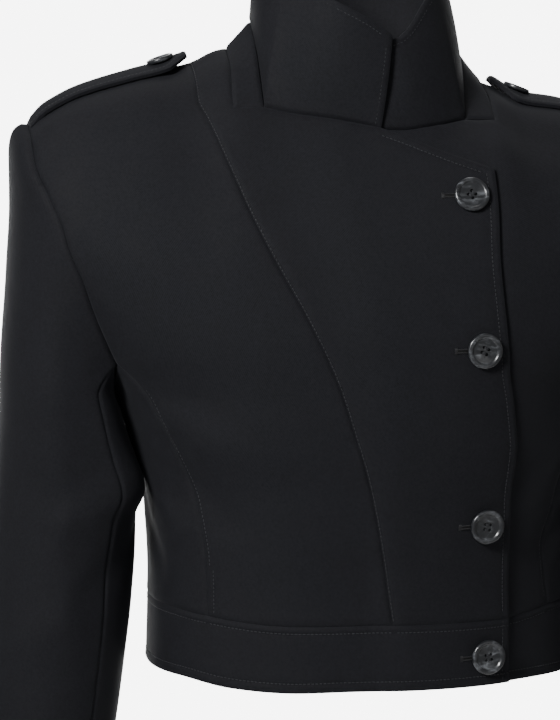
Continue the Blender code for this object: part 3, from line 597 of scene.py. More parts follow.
def body(bearing: np.ndarray, depth: np.ndarray) -> np.ndarray:
    """A point of the body form, before it settles. A depth below 0 is over the ridge.

    Args:
        bearing: degrees round the body.
        depth: metres down the cloth from the top of the shoulder.

    Returns:
        Points in metres.
    """
    bearing = np.asarray(bearing, dtype=float)
    depth = np.asarray(depth, dtype=float)
    bearing = np.where(depth < 0, 180.0 - bearing, bearing)
    depth = np.abs(depth)
    turn = np.radians(bearing)
    drop = column(GIRTHS, "drop", depth)
    power = column(GIRTHS, "squareness", depth)
    side, ahead = np.sin(turn), np.cos(turn)
    radius = (np.abs(side) ** power + np.abs(ahead) ** power) ** (-1.0 / power)
    half_depth = np.where(ahead > 0, column(GIRTHS, "front", depth), column(GIRTHS, "back", depth))
    x = column(GIRTHS, "half_width", depth) * radius * side
    y = -half_depth * shoulder_depth(np.abs(x), drop) * radius * ahead
    fade = smooth((drop - RIDGE_FADES_BY) / -RIDGE_FADES_BY)
    z = drop + column(RIDGES, "height", np.abs(x)) * fade
    fold = fold_height(BODY_FOLDS, bearing, depth)
    outward = np.stack([x, y * FOLD_FORWARD, 0 * z], axis=-1)
    outward /= np.maximum(np.linalg.norm(outward, axis=-1, keepdims=True), 1e-9)
    return np.stack([x, y, z], axis=-1) + outward * fold[..., None]


def lap_lift(bearing: np.ndarray, depth: np.ndarray) -> np.ndarray:
    """How far the lapping side stands off, so that it clears the front beneath it."""
    turn = LAP_RAMP_TURN * np.clip((depth - LAP_TOP) / LAP_LENGTH, 0.0, 1.0)
    return LAP_LIFT * smooth((bearing - LAP_RAMP[0] - turn) / (LAP_RAMP[1] - LAP_RAMP[0]))


@dataclass(frozen=True)
class Surface:
    """A curved sheet that two numbers lead to.

    Args:
        point: gives the points at arrays of first and second numbers.
        steps: small steps of the two numbers, for slopes.
        hand: -1 where the cross product of the slopes points inwards.
    """
    point: Callable[[np.ndarray, np.ndarray], np.ndarray]
    steps: tuple[float, float]
    hand: float = 1.0

    def at(self, places: np.ndarray) -> np.ndarray:
        """Points at places, an array of pairs."""
        return self.point(places[..., 0], places[..., 1])

    def slopes(self, places: np.ndarray) -> tuple[np.ndarray, np.ndarray]:
        """Change of the point with each of the two numbers.

        Args:
            places: pairs of the two numbers.

        Returns:
            The change along the first number and along the second.
        """
        first, second = places[..., 0], places[..., 1]
        a, b = self.steps
        across = (self.point(first + a, second) - self.point(first - a, second)) / (2 * a)
        down = (self.point(first, second + b) - self.point(first, second - b)) / (2 * b)
        return across, down

    def normals(self, places: np.ndarray) -> np.ndarray:
        """Outward directions at places.

        Args:
            places: pairs of the two numbers.

        Returns:
            Unit directions.
        """
        across, down = self.slopes(places)
        normal = self.hand * np.cross(down, across)
        return normal / np.linalg.norm(normal, axis=-1, keepdims=True)

    def moved_aside(self, line: np.ndarray, distance: float) -> np.ndarray:
        """A line on the sheet, moved a real distance to its side.

        Args:
            line: places along it.
            distance: metres, to the right of the way the line runs, seen from outside.

        Returns:
            The places of the moved line.
        """
        points = self.at(line)
        along = np.gradient(points, axis=0)
        side = np.cross(along, self.normals(line))
        side *= distance / np.linalg.norm(side, axis=-1, keepdims=True)
        across, down = self.slopes(line)
        pairs = ((across, across), (across, down), (down, down))
        aa, ab, bb = (np.sum(u * v, axis=-1) for u, v in pairs)
        ra, rb = np.sum(across * side, axis=-1), np.sum(down * side, axis=-1)
        scale = aa * bb - ab * ab
        return line + np.stack([(bb * ra - ab * rb) / scale, (aa * rb - ab * ra) / scale], axis=-1)


def flat_body(right: np.ndarray, down: np.ndarray) -> np.ndarray:
    """The body as worn, from flat metres across and down the cloth."""
    return settled(body(right / WIDTH_PER_DEGREE, down))


BODY = Surface(flat_body, (PROBE, PROBE))


def flat_lap(right: np.ndarray, down: np.ndarray) -> np.ndarray:
    """The lapping side as worn.

    Args:
        right: flat metres across.
        down: flat metres down the cloth.

    Returns:
        Points, lifted clear of the front beneath.
    """
    lift = lap_lift(right / WIDTH_PER_DEGREE, down)
    places = np.stack(np.broadcast_arrays(right, down), axis=-1)
    return BODY.at(places) + BODY.normals(places) * lift[..., None]


LAP = Surface(flat_lap, (PROBE, PROBE))


def walk(points: Sequence, step: float) -> np.ndarray:
    """Even steps along a smooth curve through a few flat points.

    Args:
        points: the few points, as pairs.
        step: about how far apart the steps are.

    Returns:
        The stepped points, with both ends.
    """
    points = np.asarray(points, dtype=float)
    if len(points) == 2:
        fine = np.linspace(points[0], points[1], 33)
    else:
        gaps = np.linalg.norm(np.diff(points, axis=0), axis=1)
        stations = np.concatenate([[0.0], np.cumsum(gaps)])
        at = np.linspace(0.0, stations[-1], 40 * len(points))
        fine = np.stack([curve_through(stations, points[:, k], at) for k in (0, 1)], axis=-1)
    run = run_along(fine)
    count = max(1, round(run[-1] / step))
    at = np.linspace(0.0, run[-1], count + 1)
    return np.stack([np.interp(at, run, fine[:, k]) for k in (0, 1)], axis=-1)


def run_along(points: np.ndarray) -> np.ndarray:
    """Distance travelled at each point of a line."""
    return np.concatenate([[0.0], np.cumsum(np.linalg.norm(np.diff(points, axis=0), axis=1))])


def flat(rows: Sequence) -> list[tuple[float, float]]:
    """Bearing and depth rows as flat lengths in metres."""
    return [(bearing * WIDTH_PER_DEGREE, depth * MM) for bearing, depth in rows]


def make_seams() -> dict[str, np.ndarray]:
    """Every seam as flat points. A shoulder seam is the same line seen from behind.

    Returns:
        Flat points along each seam, by its name.
    """
    tables = dict(SEAMS)
    for name in MIRRORED_SEAMS:
        tables[f"left {name}"] = [(-bearing, depth) for bearing, depth in SEAMS[f"right {name}"]]
    seams = {name: walk(flat(rows), SEAM_STEP) for name, rows in tables.items()}
    for name in ("right shoulder by neck", "right shoulder", "left shoulder"):
        mirrored = seams[name].copy()
        mirrored[:, 0] = 180.0 * WIDTH_PER_DEGREE - mirrored[:, 0]
        seams[name + " behind"] = mirrored
    return seams


def joined(seams: dict[str, np.ndarray], names: Sequence[str]) -> np.ndarray:
    """The closed outline that a list of seams makes, one point at each place.

    Args:
        seams: flat points by name.
        names: the seams, from one to the next.

    Returns:
        The outline's points, all round in one way.
    """
    full_turn = 360.0 * WIDTH_PER_DEGREE
    legs = [seams[name] for name in names]
    if any(leg[:, 0].max() > 185.0 * WIDTH_PER_DEGREE for leg in legs):
        legs = [np.where([[leg[:, 0].min() < 0, False]], leg + [full_turn, 0], leg) for leg in legs]
    ends = [np.linalg.norm(legs[0][-1] - legs[1][k]) for k in (0, -1)]
    if min(ends) > 0.5 * MM:
        legs[0] = legs[0][::-1]
    outline = [legs[0]]
    for leg in legs[1:]:
        tail = outline[-1][-1]
        if np.linalg.norm(leg[0] - tail) > np.linalg.norm(leg[-1] - tail):
            leg = leg[::-1]
        outline.append(leg)
    points = np.concatenate([leg[:-1] for leg in outline])
    right, down = points.T
    area = np.sum(right * np.roll(down, -1) - np.roll(right, -1) * down)
    return points if area < 0 else points[::-1]


def inside(outline: np.ndarray, places: np.ndarray) -> np.ndarray:
    """Which places lie inside a closed outline.

    Args:
        outline: points round it.
        places: the places to test.

    Returns:
        True for each place within.
    """
    result = np.zeros(len(places), dtype=bool)
    for start, end in zip(outline, np.roll(outline, -1, axis=0)):
        crosses = (start[1] > places[:, 1]) != (end[1] > places[:, 1])
        rise = end[1] - start[1] if end[1] != start[1] else 1.0
        at = start[0] + (places[:, 1] - start[1]) * (end[0] - start[0]) / rise
        result ^= crosses & (places[:, 0] < at)
    return result


def distance_to(line: np.ndarray, places: np.ndarray, closed: bool) -> np.ndarray:
    """Shortest distance from each place to a line of points, in two or three dimensions.

    Args:
        line: the points.
        places: where to measure from.
        closed: whether the line's end joins its start.

    Returns:
        A distance for each place.
    """
    starts = line if closed else line[:-1]
    runs = np.roll(line, -1, axis=0) - line if closed else np.diff(line, axis=0)
    lengths = np.maximum(np.sum(runs * runs, axis=-1), 1e-18)
    nearest = []
    for block in np.array_split(places, max(1, len(places) // 1500)):
        offsets = block[:, None] - starts
        share = np.clip(np.sum(offsets * runs, axis=-1) / lengths, 0, 1)
        nearest.append(np.linalg.norm(offsets - share[..., None] * runs, axis=-1).min(axis=1))
    return np.concatenate(nearest)


def beside(line: np.ndarray, distance: float, closed: bool) -> np.ndarray:
    """Flat points a distance to the left of a line.

    Args:
        line: flat points.
        distance: how far, negative for the right.
        closed: whether the line's end joins its start.

    Returns:
        The moved points.
    """
    if closed:
        run = np.roll(line, -1, axis=0) - np.roll(line, 1, axis=0)
    else:
        run = np.gradient(line, axis=0)
    side = np.stack([run[:, 1], -run[:, 0]], axis=-1)
    return line + distance * side / np.maximum(np.linalg.norm(side, axis=-1, keepdims=True), 1e-12)


def filled(
    outline: np.ndarray, step: float, lines: Sequence[np.ndarray],
) -> tuple[np.ndarray, list[tuple[int, ...]], list[int]]:
    """Triangles over an outline, finer along its rim and along the lines on it.

    Args:
        outline: flat points round the piece.
        step: distance between inner points.
        lines: rows of sewing on the piece, as flat points.

    Returns:
        The flat places, the triangles and the numbers of the rim's points.
    """
    low, high = outline.min(axis=0), outline.max(axis=0)
    rows = []
    for k, down in enumerate(np.arange(low[1] + 0.5 * step, high[1], ROW_SPACING * step)):
        right = np.arange(low[0] + (0.25 + 0.5 * (k % 2)) * step, high[0], step)
        rows.append(np.stack([right, np.full(len(right), down)], axis=-1))
    grid = np.concatenate(rows)
    grid = grid[inside(outline, grid)]
    grid = grid[distance_to(outline, grid, True) > CLOSE_ROWS[-1] + CLEAR_OF_LINES * step]
    close = []
    for line in lines:
        for aside in (-STITCH_VALLEY_WIDTH, 0.0, STITCH_VALLEY_WIDTH):
            close.append(beside(line, aside, False))
        grid = grid[distance_to(line, grid, False) > STITCH_VALLEY_WIDTH + CLEAR_OF_LINES * step]
    if close:
        close = [np.concatenate(close)]
        close[0] = close[0][inside(outline, close[0])]
        close[0] = close[0][distance_to(outline, close[0], True) > 0.6 * MM]
    for row in CLOSE_ROWS:
        ring = beside(outline, row, True)
        if not inside(outline, ring[:40]).mean() > 0.5:
            ring = beside(outline, -row, True)
        ring = ring[inside(outline, ring)]
        ring = ring[distance_to(outline, ring, True) > 0.85 * row]
        for line in lines:
            ring = ring[distance_to(line, ring, False) > 1.0 * MM]
        close.append(ring)
    places = np.concatenate([outline, *close, grid])
    rim = list(range(len(outline)))
    made = delaunay_2d_cdt([Vector(p) for p in places], [], [rim], 1, 1e-7)
    order = {k: old[0] for k, old in enumerate(made[3]) if old}
    triangles = [tuple(order[k] for k in reversed(face)) for face in made[2]]
    return places, triangles, rim


def drawn_in(
    points: np.ndarray, normals: np.ndarray, rim: Sequence[int], distance: float,
) -> np.ndarray:
    """Draw a rim in from its seam, within the cloth.

    Args:
        points: of the piece.
        normals: outward directions there.
        rim: numbers of the points round the edge.
        distance: how far in.

    Returns:
        The points with their rim moved.
    """
    out = points.copy()
    here = points[rim]
    before = here - np.roll(here, 1, axis=0)
    after = np.roll(here, -1, axis=0) - here
    inward = []
    for leg in (before, after):
        side = np.cross(normals[rim], leg)
        inward.append(side / np.maximum(np.linalg.norm(side, axis=-1, keepdims=True), 1e-12))
    meeting = 1.0 + np.sum(inward[0] * inward[1], axis=-1, keepdims=True)
    out[rim] = here + distance * (inward[0] + inward[1]) / np.maximum(meeting, 0.35)
    return out


def noise_at(points: np.ndarray, length: float) -> np.ndarray:
    """Smooth noise between about -1 and 1, with bumps of a given length."""
    return np.array([noise.noise(Vector(p)) for p in points / length])


def relief(points: np.ndarray, edge: np.ndarray, sewn: np.ndarray) -> np.ndarray:
    """Height of the cloth over its smooth form.

    Args:
        points: places on the smooth form.
        edge: distance of each from the piece's rim.
        sewn: distance of each from a row of sewing.

    Returns:
        Metres over the smooth form.
    """
    groove = SEAM_BULK * np.exp(-((edge - BULK_INSIDE) / BULK_WIDTH) ** 2)
    groove -= SEAM_GROOVE * np.exp(-(edge / SEAM_ROUNDING) ** 2)
    valley = -STITCH_VALLEY * np.exp(-(sewn / STITCH_VALLEY_WIDTH) ** 2)
    uneven = UNEVENNESS * noise_at(points, UNEVEN_LENGTH) * smooth(edge / (18 * MM))
    near = np.exp(-(np.minimum(edge, sewn) / PUCKER_REACH) ** 2) * smooth(edge / (2.5 * MM))
    return groove + valley + uneven + PUCKER * noise_at(points + 1.7, PUCKER_LENGTH) * near


class Nodes:
    """A material's node tree, with one way to make a node in it."""

    def __init__(self, name: str) -> None:
        """Start a material with an empty surface shader."""
        self.material = bpy.data.materials.new(name)
        self.material.use_nodes = True
        self.tree = self.material.node_tree
        self.shader = self.tree.nodes["Principled BSDF"]

    def make(
        self, kind: str, output: str | int = 0, settings: dict | None = None, **inputs: object,
    ) -> "Value":
        """Make a node, set its options and inputs, and return one of its outputs.

        Args:
            kind: the node's type.
            output: which output to return.
            settings: options that are set first.
            inputs: values or other outputs, by name, or by number after an underscore.

        Returns:
            The output.
        """
        node = self.tree.nodes.new(kind)
        for key, setting in (settings or {}).items():
            setattr(node, key, setting)
        for key, value in inputs.items():
            index = int(key[1:]) if key[1:].isdigit() else key.replace("_", " ")
            self.feed(node.inputs[index], value)
        return Value(self, node.outputs[output])

    def feed(self, socket: bpy.types.NodeSocket, value: object) -> None:
        """Set an input to a number, a colour or another node's output.

        Args:
            socket: the input.
            value: a number, a colour or a Value.
        """
        if isinstance(value, Value):
            self.tree.links.new(value.socket, socket)
        else:
            socket.default_value = value

    def shade(self, **inputs: object) -> None:
        """Feed the surface shader, by the names of its inputs."""
        for key, value in inputs.items():
            self.feed(self.shader.inputs[key.replace("_", " ")], value)


@dataclass(frozen=True)
class Value:
    """One output of a node, with the arithmetic that makes more of them."""
    nodes: Nodes
    socket: bpy.types.NodeSocket

    def _with(self, operation: str, other: "Value | float") -> "Value":
        """The value and another, through one arithmetic node."""
        return self.nodes.make("ShaderNodeMath", settings={"operation": operation}, _0=self, _1=other)

    def __add__(self, other: "Value | float") -> "Value":
        """The sum of the two."""
        return self._with("ADD", other)

    def __mul__(self, other: "Value | float") -> "Value":
        """The product of the two."""
        return self._with("MULTIPLY", other)

    def __pow__(self, other: "Value | float") -> "Value":
        """The value to a power."""
        return self._with("POWER", other)

    def sine(self) -> "Value":
        """Sine of the value."""
        return self._with("SINE", 0.0)

    def blend(self, low: tuple, high: tuple) -> "Value":
        """A colour between two, as the value goes from 0 to 1."""
        return self.nodes.make(
            "ShaderNodeMix", 2, {"data_type": "RGBA"}, _0=self, _6=(*low, 1.0), _7=(*high, 1.0)
        )

    def spread(self, low: float, high: float, to_low: float = 0.0, to_high: float = 1.0) -> "Value":
        """Stretch the range from low to high over another."""
        return self.nodes.make(
            "ShaderNodeMapRange", settings={"clamp": True}, Value=self,
            From_Min=low, From_Max=high, To_Min=to_low, To_Max=to_high,
        )


@dataclass(frozen=True)
class ClothFinish:
    """A fine dark twill."""
    dark: tuple[float, float, float] = (0.0036, 0.0037, 0.0050)
    light: tuple[float, float, float] = (0.0122, 0.0126, 0.0156)
    rib: float = 1.05 * MM
    roughness: float = 0.78

    def material(self, name: str) -> bpy.types.Material:
        """Twill ribs on the cut piece's own grain, a little fibre, and a soft sheen.

        Args:
            name: the material's name.

        Returns:
            The material.
        """
        n = Nodes(name)
        cut = n.make("ShaderNodeUVMap", 0, {"uv_map": "cut"})
        right = n.make("ShaderNodeSeparateXYZ", 0, Vector=cut)
        down = n.make("ShaderNodeSeparateXYZ", 1, Vector=cut)
        place = n.make("ShaderNodeTexCoord", "Object")
        waver = n.make("ShaderNodeTexNoise", 0, Vector=place, Scale=420.0, Detail=2.0)
        rib = ((right + down * 0.62) * (math.tau / self.rib) + waver * 2.2).sine() * 0.5 + 0.5
        fibre = n.make("ShaderNodeTexNoise", 0, Vector=place, Scale=1500.0, Detail=3.0, Roughness=0.7)
        patch = n.make("ShaderNodeTexNoise", 0, Vector=place, Scale=55.0, Detail=4.0, Roughness=0.6)
        grain = n.make("ShaderNodeTexNoise", 0, Vector=place, Scale=520.0, Detail=3.0, Roughness=0.75)
        tone = (fibre * 0.3 + grain * 0.4 + patch * 0.15 + rib * 0.15).spread(0.36, 0.64)
        height = rib * 0.35 + fibre * 0.65
        bump = n.make("ShaderNodeBump", 0, Strength=0.35, Distance=0.12 * MM, Height=height)
        n.shade(
            Base_Color=tone.blend(self.dark, self.light),
            Roughness=patch.spread(0.3, 0.7, self.roughness - 0.05, self.roughness + 0.05),
            Normal=bump, Specular_IOR_Level=0.16, Sheen_Weight=0.035, Sheen_Roughness=0.45,
            Sheen_Tint=(0.75, 0.78, 0.85, 1.0),
        )
        return n.material


@dataclass(frozen=True)
class ThreadFinish:
    """Twisted black sewing thread."""
    colour: tuple[float, float, float] = (0.026, 0.027, 0.031)

    def material(self, name: str) -> bpy.types.Material:
        """A slight shine, broken by the twist.

        Args:
            name: the material's name.

        Returns:
            The material.
        """
        n = Nodes(name)
        place = n.make("ShaderNodeTexCoord", "Object")
        twist = n.make("ShaderNodeTexNoise", 0, Vector=place, Scale=2600.0, Detail=1.0)
        dark = tuple(0.5 * c for c in self.colour)
        bump = n.make("ShaderNodeBump", 0, Strength=0.4, Distance=0.1 * MM, Height=twist)
        n.shade(Base_Color=twist.blend(dark, self.colour), Roughness=0.55, Normal=bump,
                Specular_IOR_Level=0.35)
        return n.material


@dataclass(frozen=True)
class HornFinish:
    """Polished black horn with grey streaks."""
    ground: tuple[float, float, float] = (0.010, 0.011, 0.013)
    streak: tuple[float, float, float] = (0.115, 0.122, 0.133)

    def material(self, name: str) -> bpy.types.Material:
        """Streaks run across the button and thin out, under a clear polish.

        Args:
            name: the material's name.

        Returns:
            The material.
        """
        n = Nodes(name)
        place = n.make("ShaderNodeTexCoord", "Object")
        stretched = n.make(
            "ShaderNodeMapping", 0, Vector=place, Rotation=(0.0, 0.4, 0.7), Scale=(70.0, 330.0, 190.0),
        )
        grain = n.make("ShaderNodeTexNoise", 0, Vector=stretched, Scale=1.0, Detail=5.0,
                       Roughness=0.62, Distortion=0.9)
        cloud = n.make("ShaderNodeTexNoise", 0, Vector=place, Scale=95.0, Detail=2.0)
        streaks = (grain.spread(0.46, 0.66) ** 1.4) * cloud.spread(0.36, 0.58)
        n.shade(Base_Color=streaks.blend(self.ground, self.streak),
                Roughness=grain.spread(0.3, 0.7, 0.26, 0.38), Specular_IOR_Level=0.5,
                Coat_Weight=0.5, Coat_Roughness=0.12)
        return n.material


@dataclass(frozen=True)
class FloorFinish:
    """Pale studio floor."""
    colour: tuple[float, float, float] = (0.88, 0.88, 0.88)

    def material(self, name: str) -> bpy.types.Material:
        """Nearly even, with the faintest unevenness.

        Args:
            name: the material's name.

        Returns:
            The material.
        """
        n = Nodes(name)
        place = n.make("ShaderNodeTexCoord", "Object")
        wash = n.make("ShaderNodeTexNoise", 0, Vector=place, Scale=0.6, Detail=2.0)
        low = tuple(0.99 * c for c in self.colour)
        n.shade(Base_Color=wash.blend(low, self.colour), Roughness=0.9, Specular_IOR_Level=0.1)
        return n.material


def link(name: str, mesh: bpy.types.Mesh, material: bpy.types.Material) -> bpy.types.Object:
    """Make an object of a mesh, and let it ride with the jacket.

    Args:
        name: the object's name.
        mesh: its mesh.
        material: its only material.

    Returns:
        The object.
    """
    piece = bpy.data.objects.new(name, mesh)
    bpy.context.scene.collection.objects.link(piece)
    mesh.materials.append(material)
    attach(piece, "root")
    return piece


def sewing_mesh(
    name: str, starts: np.ndarray, ends: np.ndarray, normals: np.ndarray,
    radius: float = THREAD_RADIUS, proud: float = 0.12 * MM,
) -> bpy.types.Mesh:
    """One short rounded bar of thread for each pair of points.

    Args:
        name: the mesh's name.
        starts: where each stitch goes in.
        ends: where it comes out.
        normals: outward direction of the cloth at each.
        radius: of the thread.
        proud: how far the thread's middle stands over the cloth.

    Returns:
        The mesh of all the bars.
    """
    shares = np.array([0.0, 0.2, 0.8, 1.0])
    widths = np.array([0.4, 1.0, 1.0, 0.4]) * radius
    heights = np.array([-0.2 * MM, proud, proud, -0.2 * MM])
    run = ends - starts
    side = np.cross(normals, run)
    side /= np.maximum(np.linalg.norm(side, axis=-1, keepdims=True), 1e-12)
    turns = np.linspace(0.0, math.tau, 5, endpoint=False)
    ring = side[:, None, None] * np.cos(turns)[:, None]
    ring = ring + normals[:, None, None] * np.sin(turns)[:, None]
    middle = starts[:, None] + run[:, None] * shares[:, None] + normals[:, None] * heights[:, None]
    points = middle[:, :, None] + ring * widths[:, None, None]
    faces = []
    for stitch in range(len(starts)):
        base = stitch * 20
        for level in range(3):
            for k in range(5):
                a, b = base + 5 * level + k, base + 5 * level + (k + 1) % 5
                faces.append((a, b, b + 5, a + 5))
        faces.append(tuple(base + k for k in reversed(range(5))))
        faces.append(tuple(base + 15 + k for k in range(5)))
    mesh = bpy.data.meshes.new(name)
    mesh.from_pydata(points.reshape(-1, 3).tolist(), [], faces)
    mesh.shade_smooth()
    return mesh


def tape_mesh(name: str, points: np.ndarray, normals: np.ndarray, half_width: float) -> bpy.types.Mesh:
    """A narrow pressed seam allowance behind a seam.

    Args:
        name: the mesh's name.
        points: along the seam, on the outside of the cloth.
        normals: outward directions there.
        half_width: to each side of the seam.

    Returns:
        The mesh.
    """
    side = np.cross(normals, np.gradient(points, axis=0))
    side *= half_width / np.maximum(np.linalg.norm(side, axis=-1, keepdims=True), 1e-12)
    rows = [points + way * side - normals * depth
            for way, depth in ((-1, TAPE_TOP), (1, TAPE_TOP), (1, TAPE_BOTTOM), (-1, TAPE_BOTTOM))]
    count = len(points)
    faces = [(a * count + k, a * count + k + 1, b * count + k + 1, b * count + k)
             for a, b in ((0, 1), (1, 2), (2, 3), (3, 0)) for k in range(count - 1)]
    faces += [(0, count, 2 * count, 3 * count), tuple(k * count - 1 for k in (4, 3, 2, 1))]
    mesh = bpy.data.meshes.new(name)
    mesh.from_pydata(np.concatenate(rows).tolist(), [], faces)
    return mesh


def stitches(surface: Surface, line: np.ndarray) -> tuple[np.ndarray, np.ndarray, np.ndarray]:
    """Starts, ends and outward directions of a row of stitches along places on a sheet.

    Args:
        surface: the sheet.
        line: places along the row.

    Returns:
        The three arrays, one row for each stitch.
    """
    points, normals = surface.at(line), surface.normals(line)
    run = run_along(points)
    count = int((run[-1] - STITCH_LENGTH) / STITCH_PITCH)
    begin = np.arange(count) * STITCH_PITCH + 0.3 * STITCH_PITCH

    def read(values: np.ndarray, at: np.ndarray) -> np.ndarray:
        """The row's values at distances along it."""
        return np.stack([np.interp(at, run, values[:, k]) for k in range(3)], axis=-1)

    valley = 0.75 * STITCH_VALLEY
    out = read(normals, begin)
    return read(points, begin) - out * valley, read(points, begin + STITCH_LENGTH) - out * valley, out


def track(points: Sequence) -> Callable[[np.ndarray], np.ndarray]:
    """Read a row of points anywhere along it, by number, and past its ends in line.

    Args:
        points: the row.

    Returns:
        A function from numbers to points.
    """
    points = np.asarray(points, dtype=float)

    def read(at: np.ndarray) -> np.ndarray:
        """The points at numbers along the row."""
        k = np.clip(np.floor(at).astype(int), 0, len(points) - 2)
        share = (at - k)[..., None]
        return points[k] * (1 - share) + points[k + 1] * share

    return read


def spread(points: np.ndarray, start: float, end: float) -> np.ndarray:
    """Angles from start to end, in step with the distance along some points."""
    run = run_along(points)
    return start + (end - start) * run / run[-1]


def close_ends(values: np.ndarray, first: float, second: float) -> np.ndarray:
    """Add two places just inside each end of an even row.

    Args:
        values: rising and even.
        first: from an end to the nearer of the two.
        second: from an end to the other.

    Returns:
        The fuller row.
    """
    low, high = values[0], values[-1]
    inner = values[(values > low + 1.5 * second) & (values < high - 1.5 * second)]
    starts, ends = [low, low + first, low + second], [high - second, high - first, high]
    return np.concatenate([starts, inner, ends])


class SleeveForm:
    """One sleeve: a rounded cap that starts at the armhole, over a bent tube."""

    def __init__(self, side: float, word: str, seams: dict[str, np.ndarray]) -> None:
        """Read the armhole that the sleeve starts at.

        Args:
            side: 1 on the wearer's left and -1 on the right.
            word: "left" or "right".
            seams: the body's seams, as flat points.
        """
        self.side = side
        front = seam_points(seams, f"{word} armhole front")
        under = seam_points(seams, f"{word} underarm")
        back = seam_points(seams, f"{word} armhole back")[::-1]
        loop = np.concatenate([front[:-1], under[:-1], back[:-1]])
        angles = np.concatenate([
            spread(front, 0.0, FRONT_SLEEVE_SEAM)[:-1],
            spread(under, FRONT_SLEEVE_SEAM, BACK_SLEEVE_SEAM)[:-1],
            spread(back, BACK_SLEEVE_SEAM, 360.0)[:-1],
        ])
        self.count = len(loop)
        self.front_seam = len(front) - 1
        self.back_seam = self.front_seam + len(under) - 1
        self.start_at = track(np.concatenate([loop, loop, loop]))
        self.angle_at = track(np.concatenate([angles - 360.0, angles, angles + 360.0])[:, None])

    def tube(self, angle: np.ndarray, down: np.ndarray) -> np.ndarray:
        """The sleeve below its cap. An angle of 0 is the outer side and 90 the front.

        Args:
            angle: degrees round the sleeve.
            down: metres below the neck's level.

        Returns:
            Points before they settle.
        """
        turn = np.radians(angle)
        inner, outer, front, back = (
            column(SLEEVE_LEVELS, name, down) for name in ("inner", "outer", "front", "back")
        )
        half_width = 0.5 * (outer - inner)
        half_depth = 0.5 * (front + back)
        fold = fold_height(SLEEVE_FOLDS, angle, down)
        side_on, ahead = np.cos(turn), np.sin(turn)
        power = np.where(side_on < 0, column(SLEEVE_LEVELS, "squareness", down), 2.0)
        radius = (np.abs(side_on) ** power + np.abs(ahead) ** power) ** (-1.0 / power)
        reach = radius + fold / half_depth
        x = 0.5 * (inner + outer) + half_width * reach * side_on
        y = 0.5 * (back - front) - half_depth * reach * ahead
        return np.stack([self.side * x, y, -down], axis=-1)

    def point(self, number: np.ndarray, level: np.ndarray) -> np.ndarray:
        """A point of the sleeve, from its number round the armhole and its level down it.

        Args:
            number: 0 at the top of the armhole, rising round its front.
            level: 0 at the armhole, 1 where the cap ends and 2 at the cuff.

        Returns:
            Points as worn.
        """
        start = self.start_at(number + self.count)
        angle = self.angle_at(number + self.count)[..., 0]
        inside_arm = 0.5 * (1 - np.cos(np.radians(angle)))
        cap_end = CAP_ENDS_DOWN + CAP_ENDS_LOWER_INSIDE * inside_arm
        share = np.clip(level, 0.0, 1.0)
        fall = (cap_end + start[..., 2]) * share ** (2.0 - inside_arm)
        below = np.maximum(level - 1.0, 0.0) * (CUFF_DROP - cap_end)
        tube = self.tube(angle, fall - start[..., 2] + below)
        rolled = np.clip(share / (CAP_ROLLS_OVER + CAP_ROLLS_LONGER_INSIDE * inside_arm), 0.0, 1.0)
        leave = np.stack([
            self.side * (CAP_LEAVES_TOP * (1.0 - inside_arm) ** 2 + CAP_LEAVES_INSIDE * inside_arm),
            -CAP_LEAVES_FORWARD * np.sin(np.radians(angle)) * (1.0 - inside_arm),
            np.zeros_like(rolled),
        ], axis=-1)
        r = rolled[..., None]
        cap = start * (1 + 2 * r) * (1 - r) ** 2 + leave * r * (1 - r) ** 2
        cap = cap + tube * r * r * (3 - 2 * r)
        cap[..., 2] = tube[..., 2]
        return settled(cap)

    def surface(self) -> Surface:
        """The sleeve as a sheet."""
        return Surface(self.point, SLEEVE_STEPS, -self.side)


def seam_points(seams: dict[str, np.ndarray], name: str, lapping: bool = False) -> np.ndarray:
    """A seam's points on the body form, before it settles.

    Args:
        seams: flat points by name.
        name: the seam.
        lapping: read it on the lapping side, as worn.

    Returns:
        Points in metres.
    """
    places = seams[name]
    if lapping:
        return LAP.at(places)
    return body(places[:, 0] / WIDTH_PER_DEGREE, places[:, 1])


